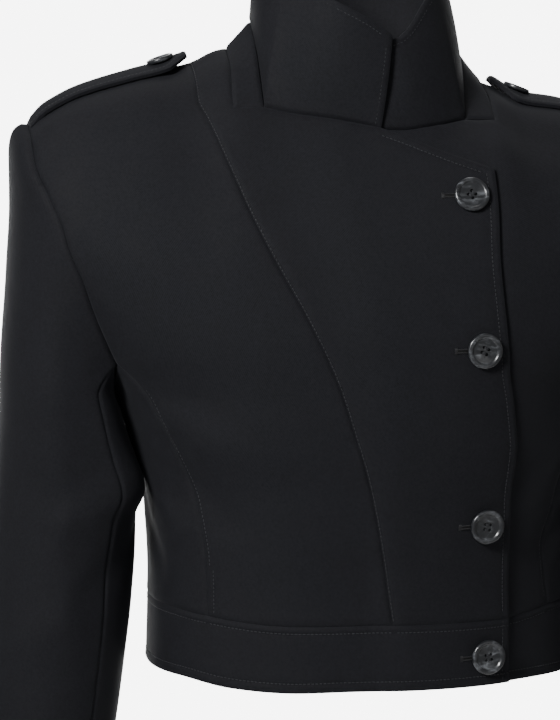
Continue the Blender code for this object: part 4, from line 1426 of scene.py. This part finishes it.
class CollarForm:
    """The stand round the sides and back of the neck, and the collar above it."""

    def __init__(self, seams: dict[str, np.ndarray]) -> None:
        """Read the neck line that both pieces start at.

        Args:
            seams: the body's seams, as flat points.
        """
        left_back = seam_points(seams, "left back neck")
        right_back = seam_points(seams, "right back neck")
        left_side = seam_points(seams, "left neck side")
        right_side = seam_points(seams, "right neck side")
        left_front = seam_points(seams, "left neck front")
        right_front = seam_points(seams, "right neck front", lapping=True)
        neck = np.concatenate([left_side[::-1][:-1], left_back[:-1], right_back[:-1], right_side])
        top = self.stand_top(neck)
        eased = round(STAND_EASE / SEAM_STEP)
        ease = (1.0 - np.arange(eased) / eased)[:, None] ** 2
        top[:eased] += ease * (left_front[0] - top[0])
        top[-eased:] += ease[::-1] * (seam_points(seams, "right neck front")[0] - top[-1])
        self.neck_count = len(neck)
        self.neck_at, self.top_at = track(settled(neck)), track(settled(top))
        base = np.concatenate([left_front[::-1][:-1], top[:-1], right_front])
        self.base_count = len(base)
        self.base_at = track(base)
        first, last = len(left_front) - 1, len(base) - len(right_front)
        bearings = np.interp(
            np.arange(len(base)),
            [0, first, first + len(left_side) - 1, last - len(right_side) + 1, last, len(base) - 1],
            [COLLAR_ENDS[0], COLLAR_CORNERS[0], 90.0, 270.0, COLLAR_CORNERS[1], COLLAR_ENDS[1]],
        )
        self.bearing_at = track(bearings[:, None])

    @staticmethod
    def stand_top(start: np.ndarray) -> np.ndarray:
        """The line where the stand meets the collar, from where it meets the neck.

        Args:
            start: points round the neck.

        Returns:
            The points above them.
        """
        ahead = smooth(-start[..., 1] / STAND_FADES_AHEAD)
        rise = STAND_RISE * (1.0 - ahead)
        draw = STAND_SLOPES_IN + STAND_SLOPES_IN_MORE * ahead
        radial = np.stack([start[..., 0], 0.9 * np.maximum(start[..., 1], 0.0), 0 * rise], axis=-1)
        radial /= np.maximum(np.linalg.norm(radial, axis=-1, keepdims=True), 1e-9)
        back_share = np.clip(start[..., 1:2] / STAND_STEEPER_BEHIND, 0.0, 1.0)
        moved = start - radial * (draw[..., None] * (1 - 0.3 * back_share))
        moved[..., 2] += rise
        return moved

    def stand(self, number: np.ndarray, share: np.ndarray) -> np.ndarray:
        """A point of the stand."""
        share = share[..., None]
        return self.neck_at(number) * (1 - share) + self.top_at(number) * share

    def collar(self, number: np.ndarray, share: np.ndarray) -> np.ndarray:
        """A point of the collar, from its seam at 0 to its top edge at 1.

        Args:
            number: counted round the neck from the left front.
            share: from the seam to the top edge.

        Returns:
            Points as worn.
        """
        start = self.base_at(number)
        bearing = self.bearing_at(number)[..., 0]
        turn = np.radians(bearing)
        height = column(COLLAR_TOP, "height", bearing, scale=1.0)
        radius = column(COLLAR_TOP, "radius", bearing, scale=1.0)
        over = LAP_LIFT * smooth((bearing - COLLAR_LAP_FROM) / COLLAR_LAP_OVER)
        outward = np.stack([np.sin(turn), -np.cos(turn), 0 * turn], axis=-1)
        end = outward * (radius + over)[..., None]
        end[..., 1] -= COLLAR_FORWARD
        end[..., 2] = height
        share = share[..., None]
        bow = outward * (4.0 * COLLAR_BOW) * share * (1 - share)
        return settled(start * (1 - share) + end * share + bow)


def strap_bearing(across: np.ndarray, depth: np.ndarray) -> np.ndarray:
    """The bearing at which the body form is this far across, at a depth by the ridge.

    Args:
        across: metres from the middle of the body.
        depth: metres down the cloth.

    Returns:
        Bearings in degrees, on the left.
    """
    low, high = np.zeros_like(across), np.full_like(across, 75.0)
    for _ in range(40):
        middle = 0.5 * (low + high)
        short = np.abs(body(middle, depth)[..., 0]) < across
        low = np.where(short, middle, low)
        high = np.where(short, high, middle)
    return low


def strap_surface(strap: Strap) -> Surface:
    """The upper side of a shoulder strap, from along its length and across it.

    Args:
        strap: which strap.

    Returns:
        The sheet.
    """
    length = (strap.start - strap.tip) * MM

    def point(along: np.ndarray, share: np.ndarray) -> np.ndarray:
        """A point of the strap, from 0 to 1 along it and from -1 to 1 across it."""
        across = strap.start * MM - along * length
        from_tip = (1.0 - along) * length
        half = STRAP_HALF_WIDTH * (1.0 - STRAP_NARROWS * along)
        opened = STRAP_TIP_WIDTH + (1.0 - STRAP_TIP_WIDTH) * from_tip / STRAP_POINT
        half = half * np.clip(opened, STRAP_TIP_WIDTH, 1.0)
        depth = share * half / shoulder_depth(across, 0.0)
        right = strap.side * strap_bearing(across, depth) * WIDTH_PER_DEGREE
        lift = strap.tip_lift * MM * smooth(1.0 - from_tip / STRAP_LIFTS_OVER)
        tucked = STRAP_TUCKS_IN * np.exp(-(along * length / STRAP_TUCK) ** 2)
        raised = STRAP_STANDS_OFF + STRAP_THICKNESS + lift - tucked
        places = np.stack(np.broadcast_arrays(right, depth), axis=-1)
        return BODY.at(places) + BODY.normals(places) * raised[..., None]

    return Surface(point, STRAP_STEPS, -strap.side)


class Tailor:
    """Makes the jacket's pieces, one for each node of the solid model."""

    def __init__(self) -> None:
        """Lay out the materials, the seams and the forms of sleeves and collar."""
        self.cloth = ClothFinish().material("black twill")
        self.thread = ThreadFinish().material("black thread")
        self.horn = HornFinish().material("black horn")
        self.silk = ThreadFinish((0.013, 0.013, 0.015)).material("black buttonhole silk")
        # Painted shade: a near-black finish for the strip that stands in for the shadowed inside of
        # each buttonhole slit.
        self.dark = ThreadFinish((0.002, 0.002, 0.002)).material("shade in a slit")
        self.seams = make_seams()
        self.sleeves = {word: SleeveForm(side, word, self.seams)
                        for side, word in ((-1, "right"), (1, "left"))}
        self.collar_form = CollarForm(self.seams)
        self.taped = set()

    def cloth_piece(
        self, node: str, points: np.ndarray, normals: np.ndarray, faces: Sequence, rim: Sequence[int],
        cut: np.ndarray, thickness: float, sewn: np.ndarray, sewing: Sequence, tapes: Sequence,
    ) -> None:
        """A closed wall of cloth with rolled edges, in place of a node.

        Args:
            node: the node it stands for.
            points: outer points on the smooth form.
            normals: outward directions there.
            faces: faces over the points.
            rim: numbers of the points round the edge.
            cut: flat places of the points, for the grain.
            thickness: of the cloth.
            sewn: distance of each point from the nearest row of sewing.
            sewing: rows of stitches, as starts, ends and directions.
            tapes: meshes of seam allowances behind its seams.
        """
        edge = distance_to(points[rim], points, True)
        edge[rim] = 0.0
        outer = drawn_in(points, normals, rim, 0.5 * SEAM_GAP)
        raised = outer + normals * relief(points, edge, sewn)[:, None]
        inner = outer - normals * thickness
        count = len(outer)
        skin = [tuple(face) for face in faces]
        lining = [tuple(k + count for k in reversed(face)) for face in skin]
        border = [(b, a, a + count, b + count) for a, b in zip(rim, list(rim[1:]) + list(rim[:1]))]
        mesh = bpy.data.meshes.new(f"{node} cloth")
        mesh.from_pydata(np.concatenate([raised, inner]).tolist(), [], skin + lining + border)
        layer = mesh.uv_layers.new(name="cut")
        corners = np.empty(len(mesh.loops), dtype=np.int32)
        mesh.loops.foreach_get("vertex_index", corners)
        layer.data.foreach_set("uv", cut[corners % count].astype(np.float32).ravel())
        mesh.shade_smooth()
        mesh.set_sharp_from_angle(angle=math.radians(48))
        piece = link(f"{node}_cloth", mesh, self.cloth)
        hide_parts(node)
        if sewing:
            starts, ends, outs = (np.concatenate([row[k] for row in sewing]) for k in range(3))
            thread = sewing_mesh(f"{node} topstitching", starts, ends, outs)
            link(f"{node}_topstitching", thread, self.thread)
        for number, tape in enumerate(tapes, start=1):
            link(f"{node}_allowance_{number}", tape, self.cloth)
        log.info("%s: %d points", node, 2 * count)

    def make_panel(self, node: str) -> None:
        """One cut piece of the body or of the hem band.

        Args:
            node: the node it stands for.
        """
        surface = LAP if node in LAPPING_PANELS else BODY
        outline = joined(self.seams, PANELS[node])
        lines = [self.sewing_line(surface, outline, row) for row in TOPSTITCHING.get(node, [])]
        places, faces, rim = filled(outline, PANEL_STEP, lines)
        points = surface.at(places)
        normals = BODY.normals(places)
        sewn = np.full(len(points), NOT_SEWN)
        for line in lines:
            sewn = np.minimum(sewn, distance_to(surface.at(line), points, False))
        thickness = DOUBLED_CLOTH if "band" in node else CLOTH
        rows = [stitches(surface, line) for line in lines]
        tapes = []
        for name in PANELS[node]:
            if name in TAPED_SEAMS and name not in self.taped:
                self.taped.add(name)
                seam = self.seams[name]
                tapes.append(tape_mesh(name, surface.at(seam), BODY.normals(seam), TAPE_HALF_WIDTH))
        self.cloth_piece(node, points, normals, faces, rim, places, thickness, sewn, rows, tapes)

    def sewing_line(self, surface: Surface, outline: np.ndarray, row: Row) -> np.ndarray:
        """Places of a row of topstitching, inside a piece beside one of its seams.

        Args:
            surface: the sheet it lies on.
            outline: round the piece.
            row: the seam, the distance and the share.

        Returns:
            The places within the piece.
        """
        seam = self.seams[row.seam]
        line = surface.moved_aside(seam, row.inside * MM)
        if inside(outline, line).mean() < 0.5:
            line = surface.moved_aside(seam, -row.inside * MM)
        run = run_along(line)
        at = np.linspace(row.start, row.end, len(line)) * run[-1]
        line = np.stack([np.interp(at, run, line[:, k]) for k in (0, 1)], axis=-1)
        return line[inside(outline, line)]

    def make_strip(
        self, node: str, surface: Surface, columns: np.ndarray, rows: np.ndarray, thickness: float,
        sewn_inside: float = 0.0, sewn_sides: Sequence[Side] = (), taped: Sequence[Side] = (),
    ) -> None:
        """A piece whose points stand in columns and rows of a sheet.

        Args:
            node: the node it stands for.
            surface: the sheet it lies on.
            columns: first numbers of its places.
            rows: second numbers.
            thickness: of the cloth.
            sewn_inside: distance of the topstitching from the edge.
            sewn_sides: which sides are topstitched.
            taped: which sides have a seam allowance behind them.
        """
        across, down = np.meshgrid(columns, rows, indexing="ij")
        places = np.stack([across, down], axis=-1)
        points = surface.at(places)
        normals = surface.normals(places)
        wide, tall = points.shape[:2]
        index = np.arange(wide * tall).reshape(wide, tall)
        faces = [
            (index[a, b], index[a, b + 1], index[a + 1, b + 1], index[a + 1, b])
            for a in range(wide - 1) for b in range(tall - 1)
        ]
        rim = [*index[0, :], *index[1:, -1], *index[-1, -2::-1], *index[-2:0:-1, 0]]
        middle = run_along(points[:, tall // 2])
        drop = run_along(points[wide // 2])
        cut = np.stack(np.meshgrid(middle, -drop, indexing="ij"), axis=-1).reshape(-1, 2)
        points, normals = points.reshape(-1, 3), normals.reshape(-1, 3)
        corner = faces[len(faces) // 2]
        towards = np.cross(points[corner[1]] - points[corner[0]], points[corner[3]] - points[corner[0]])
        if towards @ normals[corner[0]] < 0:
            faces = [tuple(reversed(face)) for face in faces]
            rim = rim[::-1]
        faces = [tuple(int(k) for k in face) for face in faces]
        rim = [int(k) for k in rim]
        sewn = np.full(len(points), NOT_SEWN)
        sewing = []
        for side in sewn_sides:
            line = self.strip_line(surface, columns, rows, side, sewn_inside)
            for other in sewn_sides:
                if other != side:
                    edge = surface.at(self.strip_edge(columns, rows, other))
                    line = line[distance_to(edge, surface.at(line), False) > 0.97 * sewn_inside]
            sewn = np.minimum(sewn, distance_to(surface.at(line), points, False))
            sewing.append(stitches(surface, line))
        tapes = []
        for side in taped:
            edge = self.strip_edge(columns, rows, side)
            tapes.append(tape_mesh(f"{node} {side.value}", surface.at(edge), surface.normals(edge),
                                   TAPE_HALF_WIDTH_AT_ARM))
        self.cloth_piece(node, points, normals, faces, rim, cut, thickness, sewn, sewing, tapes)

    @staticmethod
    def strip_edge(columns: np.ndarray, rows: np.ndarray, side: Side) -> np.ndarray:
        """Places along one side of a strip.

        Args:
            columns: first numbers of the places.
            rows: second numbers.
            side: which side.

        Returns:
            The places.
        """
        last = -1 if side in (Side.TOP, Side.END) else 0
        if side in (Side.TOP, Side.BOTTOM):
            return np.stack([columns, np.full(len(columns), rows[last])], axis=-1)
        return np.stack([np.full(len(rows), columns[last]), rows], axis=-1)

    def strip_line(
        self, surface: Surface, columns: np.ndarray, rows: np.ndarray, side: Side, inside_by: float,
    ) -> np.ndarray:
        """Places of a row of topstitching along one side of a strip.

        Args:
            surface: the sheet.
            columns: first numbers of the places.
            rows: second numbers.
            side: which side.
            inside_by: how far inside it.

        Returns:
            The places within the strip.
        """
        edge = self.strip_edge(columns, rows, side)
        line = surface.moved_aside(edge, inside_by)
        middle = np.array([columns.mean(), rows.mean()])
        half = edge[len(edge) // 2]
        if np.sum((line[len(edge) // 2] - half) * (middle - half)) < 0:
            line = surface.moved_aside(edge, -inside_by)
        low, high = [columns[0], rows[0]], [columns[-1], rows[-1]]
        keep = np.all((line >= low) & (line <= high), axis=-1)
        return line[keep]

    def make_sleeves(self) -> None:
        """Upper and under sleeve on each side."""
        cap = np.linspace(0.0, 1.0, CAP_ROWS) ** CAP_ROWS_CROWD
        levels = np.concatenate([cap, np.linspace(1.0, 2.0, SLEEVE_ROWS)[1:]])
        levels = np.concatenate([levels[:-1], CUFF_ROWS])
        for word, form in self.sleeves.items():
            columns = {
                "upper": np.arange(form.back_seam - form.count, form.front_seam + 1),
                "under": np.arange(form.front_seam, form.back_seam + 1),
            }
            for name, numbers in columns.items():
                numbers = close_ends(numbers.astype(float), *CLOSE_COLUMNS)
                taped = (Side.BOTTOM, Side.START, Side.END) if name == "upper" else (Side.BOTTOM,)
                self.make_strip(f"{word}_{name}_sleeve", form.surface(), numbers, levels, CLOTH,
                                taped=taped)

    def make_collar(self) -> None:
        """The stand and the collar."""
        form = self.collar_form
        numbers = close_ends(np.arange(form.neck_count, dtype=float), *CLOSE_COLUMNS)
        shares = close_ends(np.linspace(0.0, 1.0, STAND_ROWS), 0.04, 0.1)
        self.make_strip("collar_stand", Surface(form.stand, STAND_STEPS, -1.0), numbers, shares, CLOTH,
                        taped=(Side.BOTTOM,))
        numbers = close_ends(np.arange(form.base_count, dtype=float), *CLOSE_COLUMNS)
        shares = close_ends(np.linspace(0.0, 1.0, COLLAR_ROWS), 0.009, 0.024)
        self.make_strip("collar", Surface(form.collar, COLLAR_STEPS, -1.0), numbers, shares,
                        DOUBLED_CLOTH, COLLAR_STITCHING, (Side.TOP, Side.START, Side.END),
                        (Side.BOTTOM,))

    def make_straps(self, button: bpy.types.Mesh) -> None:
        """Each shoulder strap and its button.

        Args:
            button: the mesh to copy for each.
        """
        for strap in STRAPS:
            surface = strap_surface(strap)
            columns = close_ends(np.linspace(0.0, 1.0, STRAP_COLUMNS), 0.006, 0.016)
            rows = close_ends(np.linspace(-1.0, 1.0, STRAP_ROWS), 0.04, 0.1)
            self.make_strip(f"{strap.word}_epaulette", surface, columns, rows, STRAP_THICKNESS,
                            STRAP_STITCHING, (Side.TOP, Side.BOTTOM, Side.END))
            along = (strap.start - strap.button) / (strap.start - strap.tip)
            near = np.meshgrid(along + np.linspace(-0.1, 0.1, 9), np.linspace(-0.5, 0.5, 9))
            near = np.stack(near, axis=-1)
            centre = np.array([along, 0.0])
            flat_steps = Surface(surface.point, STRAP_BUTTON_STEPS, surface.hand)
            self.set_button(f"{strap.word}_epaulette_button", button, surface.at(near.reshape(-1, 2)),
                            surface.at(centre[None])[0], flat_steps.normals(centre[None])[0],
                            STRAP_BUTTON_RADIUS, STRAP_BUTTON_TURN, STRAP_BUTTON_SINKS)

    def make_front_buttons(self, button: bpy.types.Mesh) -> None:
        """The four buttons of the lap and their buttonholes.

        Args:
            button: the mesh to copy for each.
        """
        around = np.linspace(-1.0, 1.0, 9) * FRONT_BUTTON_RADIUS
        for number, (bearing, depth) in enumerate(FRONT_BUTTONS, start=1):
            centre = np.array([bearing * WIDTH_PER_DEGREE, depth * MM])
            near = centre + np.stack(np.meshgrid(around, around), axis=-1).reshape(-1, 2)
            facing = BODY.normals(centre[None])[0]
            facing[0] *= 1.0 - BUTTON_FACES_FRONT
            facing /= np.linalg.norm(facing)
            turn = FRONT_BUTTON_TURN + FRONT_BUTTON_TURN_MORE * number
            self.set_button(f"front_button_{number}", button, LAP.at(near), LAP.at(centre[None])[0],
                            facing, FRONT_BUTTON_RADIUS, turn)
            self.make_buttonhole(number, centre)

    def set_button(
        self, node: str, mesh: bpy.types.Mesh, cloth: np.ndarray, point: np.ndarray, normal: np.ndarray,
        radius: float, turned: float, sunk: float = 0.0,
    ) -> None:
        """Seat a button on the cloth beneath it, turned about its own axis, with its thread.

        Args:
            node: the node it stands for.
            mesh: the button's mesh.
            cloth: points of the cloth round it.
            point: the cloth under its middle.
            normal: the way it faces.
            radius: of the button.
            turned: degrees about its own axis.
            sunk: how far it presses into the cloth.
        """
        aside = cloth - point
        height = aside @ normal
        near = np.linalg.norm(aside - height[:, None] * normal, axis=-1) < radius
        seat = point + normal * (height[near].max() + 1.5 * RESTING_GAP - sunk)
        out = Vector(normal).normalized()
        right = Vector((1.0, 0.0, 0.0))
        right = (right - out * right.dot(out)).normalized()
        up = out.cross(right)
        turn = Matrix((right, up, out)).transposed().to_4x4()
        place = Matrix.Translation(Vector(seat)) @ turn @ Matrix.Rotation(math.radians(turned), 4, "Z")
        own = mesh.copy()
        own.name = node
        own.transform(place)
        piece = link(f"{node}_horn", own, self.horn)
        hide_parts(node)
        hole = HOLE_PLACE * radius
        starts, ends = [], []
        for aside in (-hole, hole):
            for step in (-STRAND_ASIDE, STRAND_ASIDE):
                starts.append(place @ Vector((aside + step, -hole, BUTTON_DISH)))
                ends.append(place @ Vector((aside + step, hole, BUTTON_DISH)))
        outs = np.repeat(np.array(out)[None], len(starts), axis=0)
        mesh = sewing_mesh(f"{node} thread", np.array(starts), np.array(ends), outs, THREAD_RADIUS,
                           STRAND_ASIDE)
        link(f"{node}_thread", mesh, self.thread)
        tops = [place @ Vector((x * hole, y * hole, 0.3 * MM))
                for x, y in ((0, 0), (1, 0), (-1, 0), (0, 1))]
        feet = [top - out * SHANK_LENGTH for top in tops]
        outs = np.repeat(np.array(right)[None], len(tops), axis=0)
        mesh = sewing_mesh(f"{node} shank", np.array(tops), np.array(feet), outs, SHANK_RADIUS, 0.0)
        link(f"{node}_shank", mesh, self.thread)

    def make_buttonhole(self, number: int, centre: np.ndarray) -> None:
        """Close stitches along both lips of a slit, a bar across its end, and a near-black strip of
        painted shade in the slit.

        Args:
            number: counted down from the neck.
            centre: flat place of the button's middle.
        """
        along = np.linspace(-1.6, 0.2, 60) * BUTTONHOLE_LENGTH
        level = centre + np.stack([along, np.zeros(len(along))], axis=-1)
        run = run_along(LAP.at(level))
        run -= np.interp(centre[0], level[:, 0], run)
        at = np.arange(-BUTTONHOLE_LENGTH, 0.0, BUTTONHOLE_PITCH)
        line = np.stack([np.interp(at, run, level[:, 0]), np.full(len(at), centre[1])], axis=-1)
        starts, ends = [], []
        for side in (-1.0, 1.0):
            starts.append(LAP.at(LAP.moved_aside(line, side * BUTTONHOLE_HALF_GAP)))
            ends.append(LAP.at(LAP.moved_aside(line, side * (BUTTONHOLE_HALF_GAP + BUTTONHOLE_BITE))))
        bars = LAP.moved_aside(line[:4], -BAR_TACK_HALF), LAP.moved_aside(line[:4], BAR_TACK_HALF)
        starts.append(LAP.at(bars[0]))
        ends.append(LAP.at(bars[1]))
        outs = BODY.normals(np.concatenate([line, line, line[:4]]))
        mesh = sewing_mesh(f"buttonhole {number}", np.concatenate(starts), np.concatenate(ends), outs,
                           0.3 * MM, 0.3 * MM)
        link(f"buttonhole_{number}", mesh, self.silk)
        # Painted shade: a near-black strip laid just over the cloth along the slit stands in for the
        # shadow inside the cut opening.
        middle = LAP.at(line[2:])
        outs = BODY.normals(line[2:])
        slit = tape_mesh(f"buttonhole slit {number}", middle + SLIT_RISE * outs, outs, SLIT_HALF_WIDTH)
        link(f"buttonhole_{number}_slit", slit, self.dark)


def apply_modifiers(piece: bpy.types.Object) -> None:
    """Apply every modifier of a piece, in order.

    Args:
        piece: the object.
    """
    bpy.ops.object.select_all(action="DESELECT")
    piece.select_set(True)
    bpy.context.view_layer.objects.active = piece
    for modifier in list(piece.modifiers):
        bpy.ops.object.modifier_apply(modifier=modifier.name)


def make_button_mesh(radius: float) -> bpy.types.Mesh:
    """A turned button with a raised rim, a dished middle and four holes.

    Args:
        radius: of the button.

    Returns:
        The mesh, with its underside at height 0.
    """
    dish, height = BUTTON_DISH, BUTTON_HEIGHT
    profile = [
        (0.0, dish), (0.6 * radius, dish), (0.70 * radius, dish + 0.25 * MM),
        (0.76 * radius, height - 0.45 * MM), (0.81 * radius, height - 0.1 * MM),
        (0.87 * radius, height),
        (0.93 * radius, height - 0.12 * MM), (0.975 * radius, height - 0.5 * MM),
        (radius, height - 1.1 * MM), (radius, 1.1 * MM), (0.97 * radius, 0.5 * MM),
        (0.86 * radius, 0.0), (0.0, 0.0),
    ]
    mesh = bpy.data.meshes.new("button profile")
    steps = [(k, k + 1) for k in range(len(profile) - 1)]
    mesh.from_pydata([(x, 0.0, z) for x, z in profile], steps, [])
    button = bpy.data.objects.new("button blank", mesh)
    bpy.context.scene.collection.objects.link(button)
    screw = button.modifiers.new("turn", "SCREW")
    screw.steps = screw.render_steps = 72
    screw.use_merge_vertices = True
    screw.merge_threshold = 0.00002
    cutters = []
    for x, y in ((1, 1), (-1, 1), (-1, -1), (1, -1)):
        bpy.ops.mesh.primitive_cylinder_add(
            vertices=20, radius=HOLE_RADIUS * radius, depth=12 * MM,
            location=(HOLE_PLACE * radius * x, HOLE_PLACE * radius * y, 0.0),
        )
        cutter = bpy.context.object
        hole = button.modifiers.new("hole", "BOOLEAN")
        hole.operation = "DIFFERENCE"
        hole.object = cutter
        cutters.append(cutter)
    soften = button.modifiers.new("soften", "BEVEL")
    soften.width = 0.12 * MM
    soften.segments = 2
    soften.limit_method = "ANGLE"
    soften.angle_limit = math.radians(50)
    apply_modifiers(button)
    finished = button.data
    finished.shade_smooth()
    finished.set_sharp_from_angle(angle=math.radians(35))
    for scratch in [button, *cutters]:
        bpy.data.objects.remove(scratch)
    return finished


def light_world() -> None:
    """An even dim studio, with a bright wall far behind the jacket."""
    world = bpy.data.worlds.new("studio")
    bpy.context.scene.world = world
    world.use_nodes = True
    tree = world.node_tree
    place = tree.nodes.new("ShaderNodeTexCoord")
    facing = tree.nodes.new("ShaderNodeVectorMath")
    facing.operation = "DOT_PRODUCT"
    facing.inputs[1].default_value = (CAMERA_AIM - CAMERA_PLACE).normalized()
    tree.links.new(place.outputs["Generated"], facing.inputs[0])
    wall = tree.nodes.new("ShaderNodeMapRange")
    wall.inputs["From Min"].default_value = WALL_EDGE
    wall.inputs["From Max"].default_value = WALL_MIDDLE
    wall.inputs["To Min"].default_value = AMBIENT
    wall.inputs["To Max"].default_value = WALL_BRIGHTNESS
    tree.links.new(facing.outputs["Value"], wall.inputs["Value"])
    background = tree.nodes["Background"]
    background.inputs["Color"].default_value = (1.0, 1.0, 1.0, 1.0)
    tree.links.new(wall.outputs["Result"], background.inputs["Strength"])


def looking(place: Vector, aim: Vector) -> Euler:
    """The turn of a camera or lamp at a place, so that it faces its aim."""
    return (aim - place).to_track_quat("-Z", "Y").to_euler()


def make_studio() -> None:
    """A round pale floor, soft lights and the camera."""
    bpy.ops.mesh.primitive_cylinder_add(
        vertices=128, radius=FLOOR_RADIUS, depth=0.02, location=(0.0, 0.0, FLOOR_HEIGHT - 0.01)
    )
    floor = bpy.context.object
    floor.name = "studio_floor"
    floor.data.materials.append(FloorFinish().material("pale floor"))
    light_world()
    for lamp in LAMPS:
        bpy.ops.object.light_add(type="AREA", location=lamp.place)
        light = bpy.context.object
        light.name = lamp.name
        light.data.shape = "DISK"
        light.data.size = lamp.size
        light.data.energy = lamp.power
        light.data.spread = math.radians(lamp.spread)
        light.rotation_euler = looking(Vector(lamp.place), Vector(lamp.aim))
    bpy.ops.object.camera_add(location=CAMERA_PLACE)
    camera = bpy.context.object
    camera.rotation_euler = looking(CAMERA_PLACE, CAMERA_AIM)
    camera.data.lens = CAMERA_LENS
    camera.data.sensor_width = 36.0
    bpy.context.scene.camera = camera


def main() -> None:
    """Make the jacket on its frame, and the studio round it."""
    logging.basicConfig(level=logging.INFO)
    for existing in list(bpy.data.objects):
        bpy.data.objects.remove(existing)
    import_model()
    bpy.ops.object.select_all(action="DESELECT")
    make_studio()
    tailor = Tailor()
    for node in PANELS:
        tailor.make_panel(node)
    tailor.make_sleeves()
    tailor.make_collar()
    tailor.make_front_buttons(make_button_mesh(FRONT_BUTTON_RADIUS))
    tailor.make_straps(make_button_mesh(STRAP_BUTTON_RADIUS))


if __name__ == "__main__":
    main()
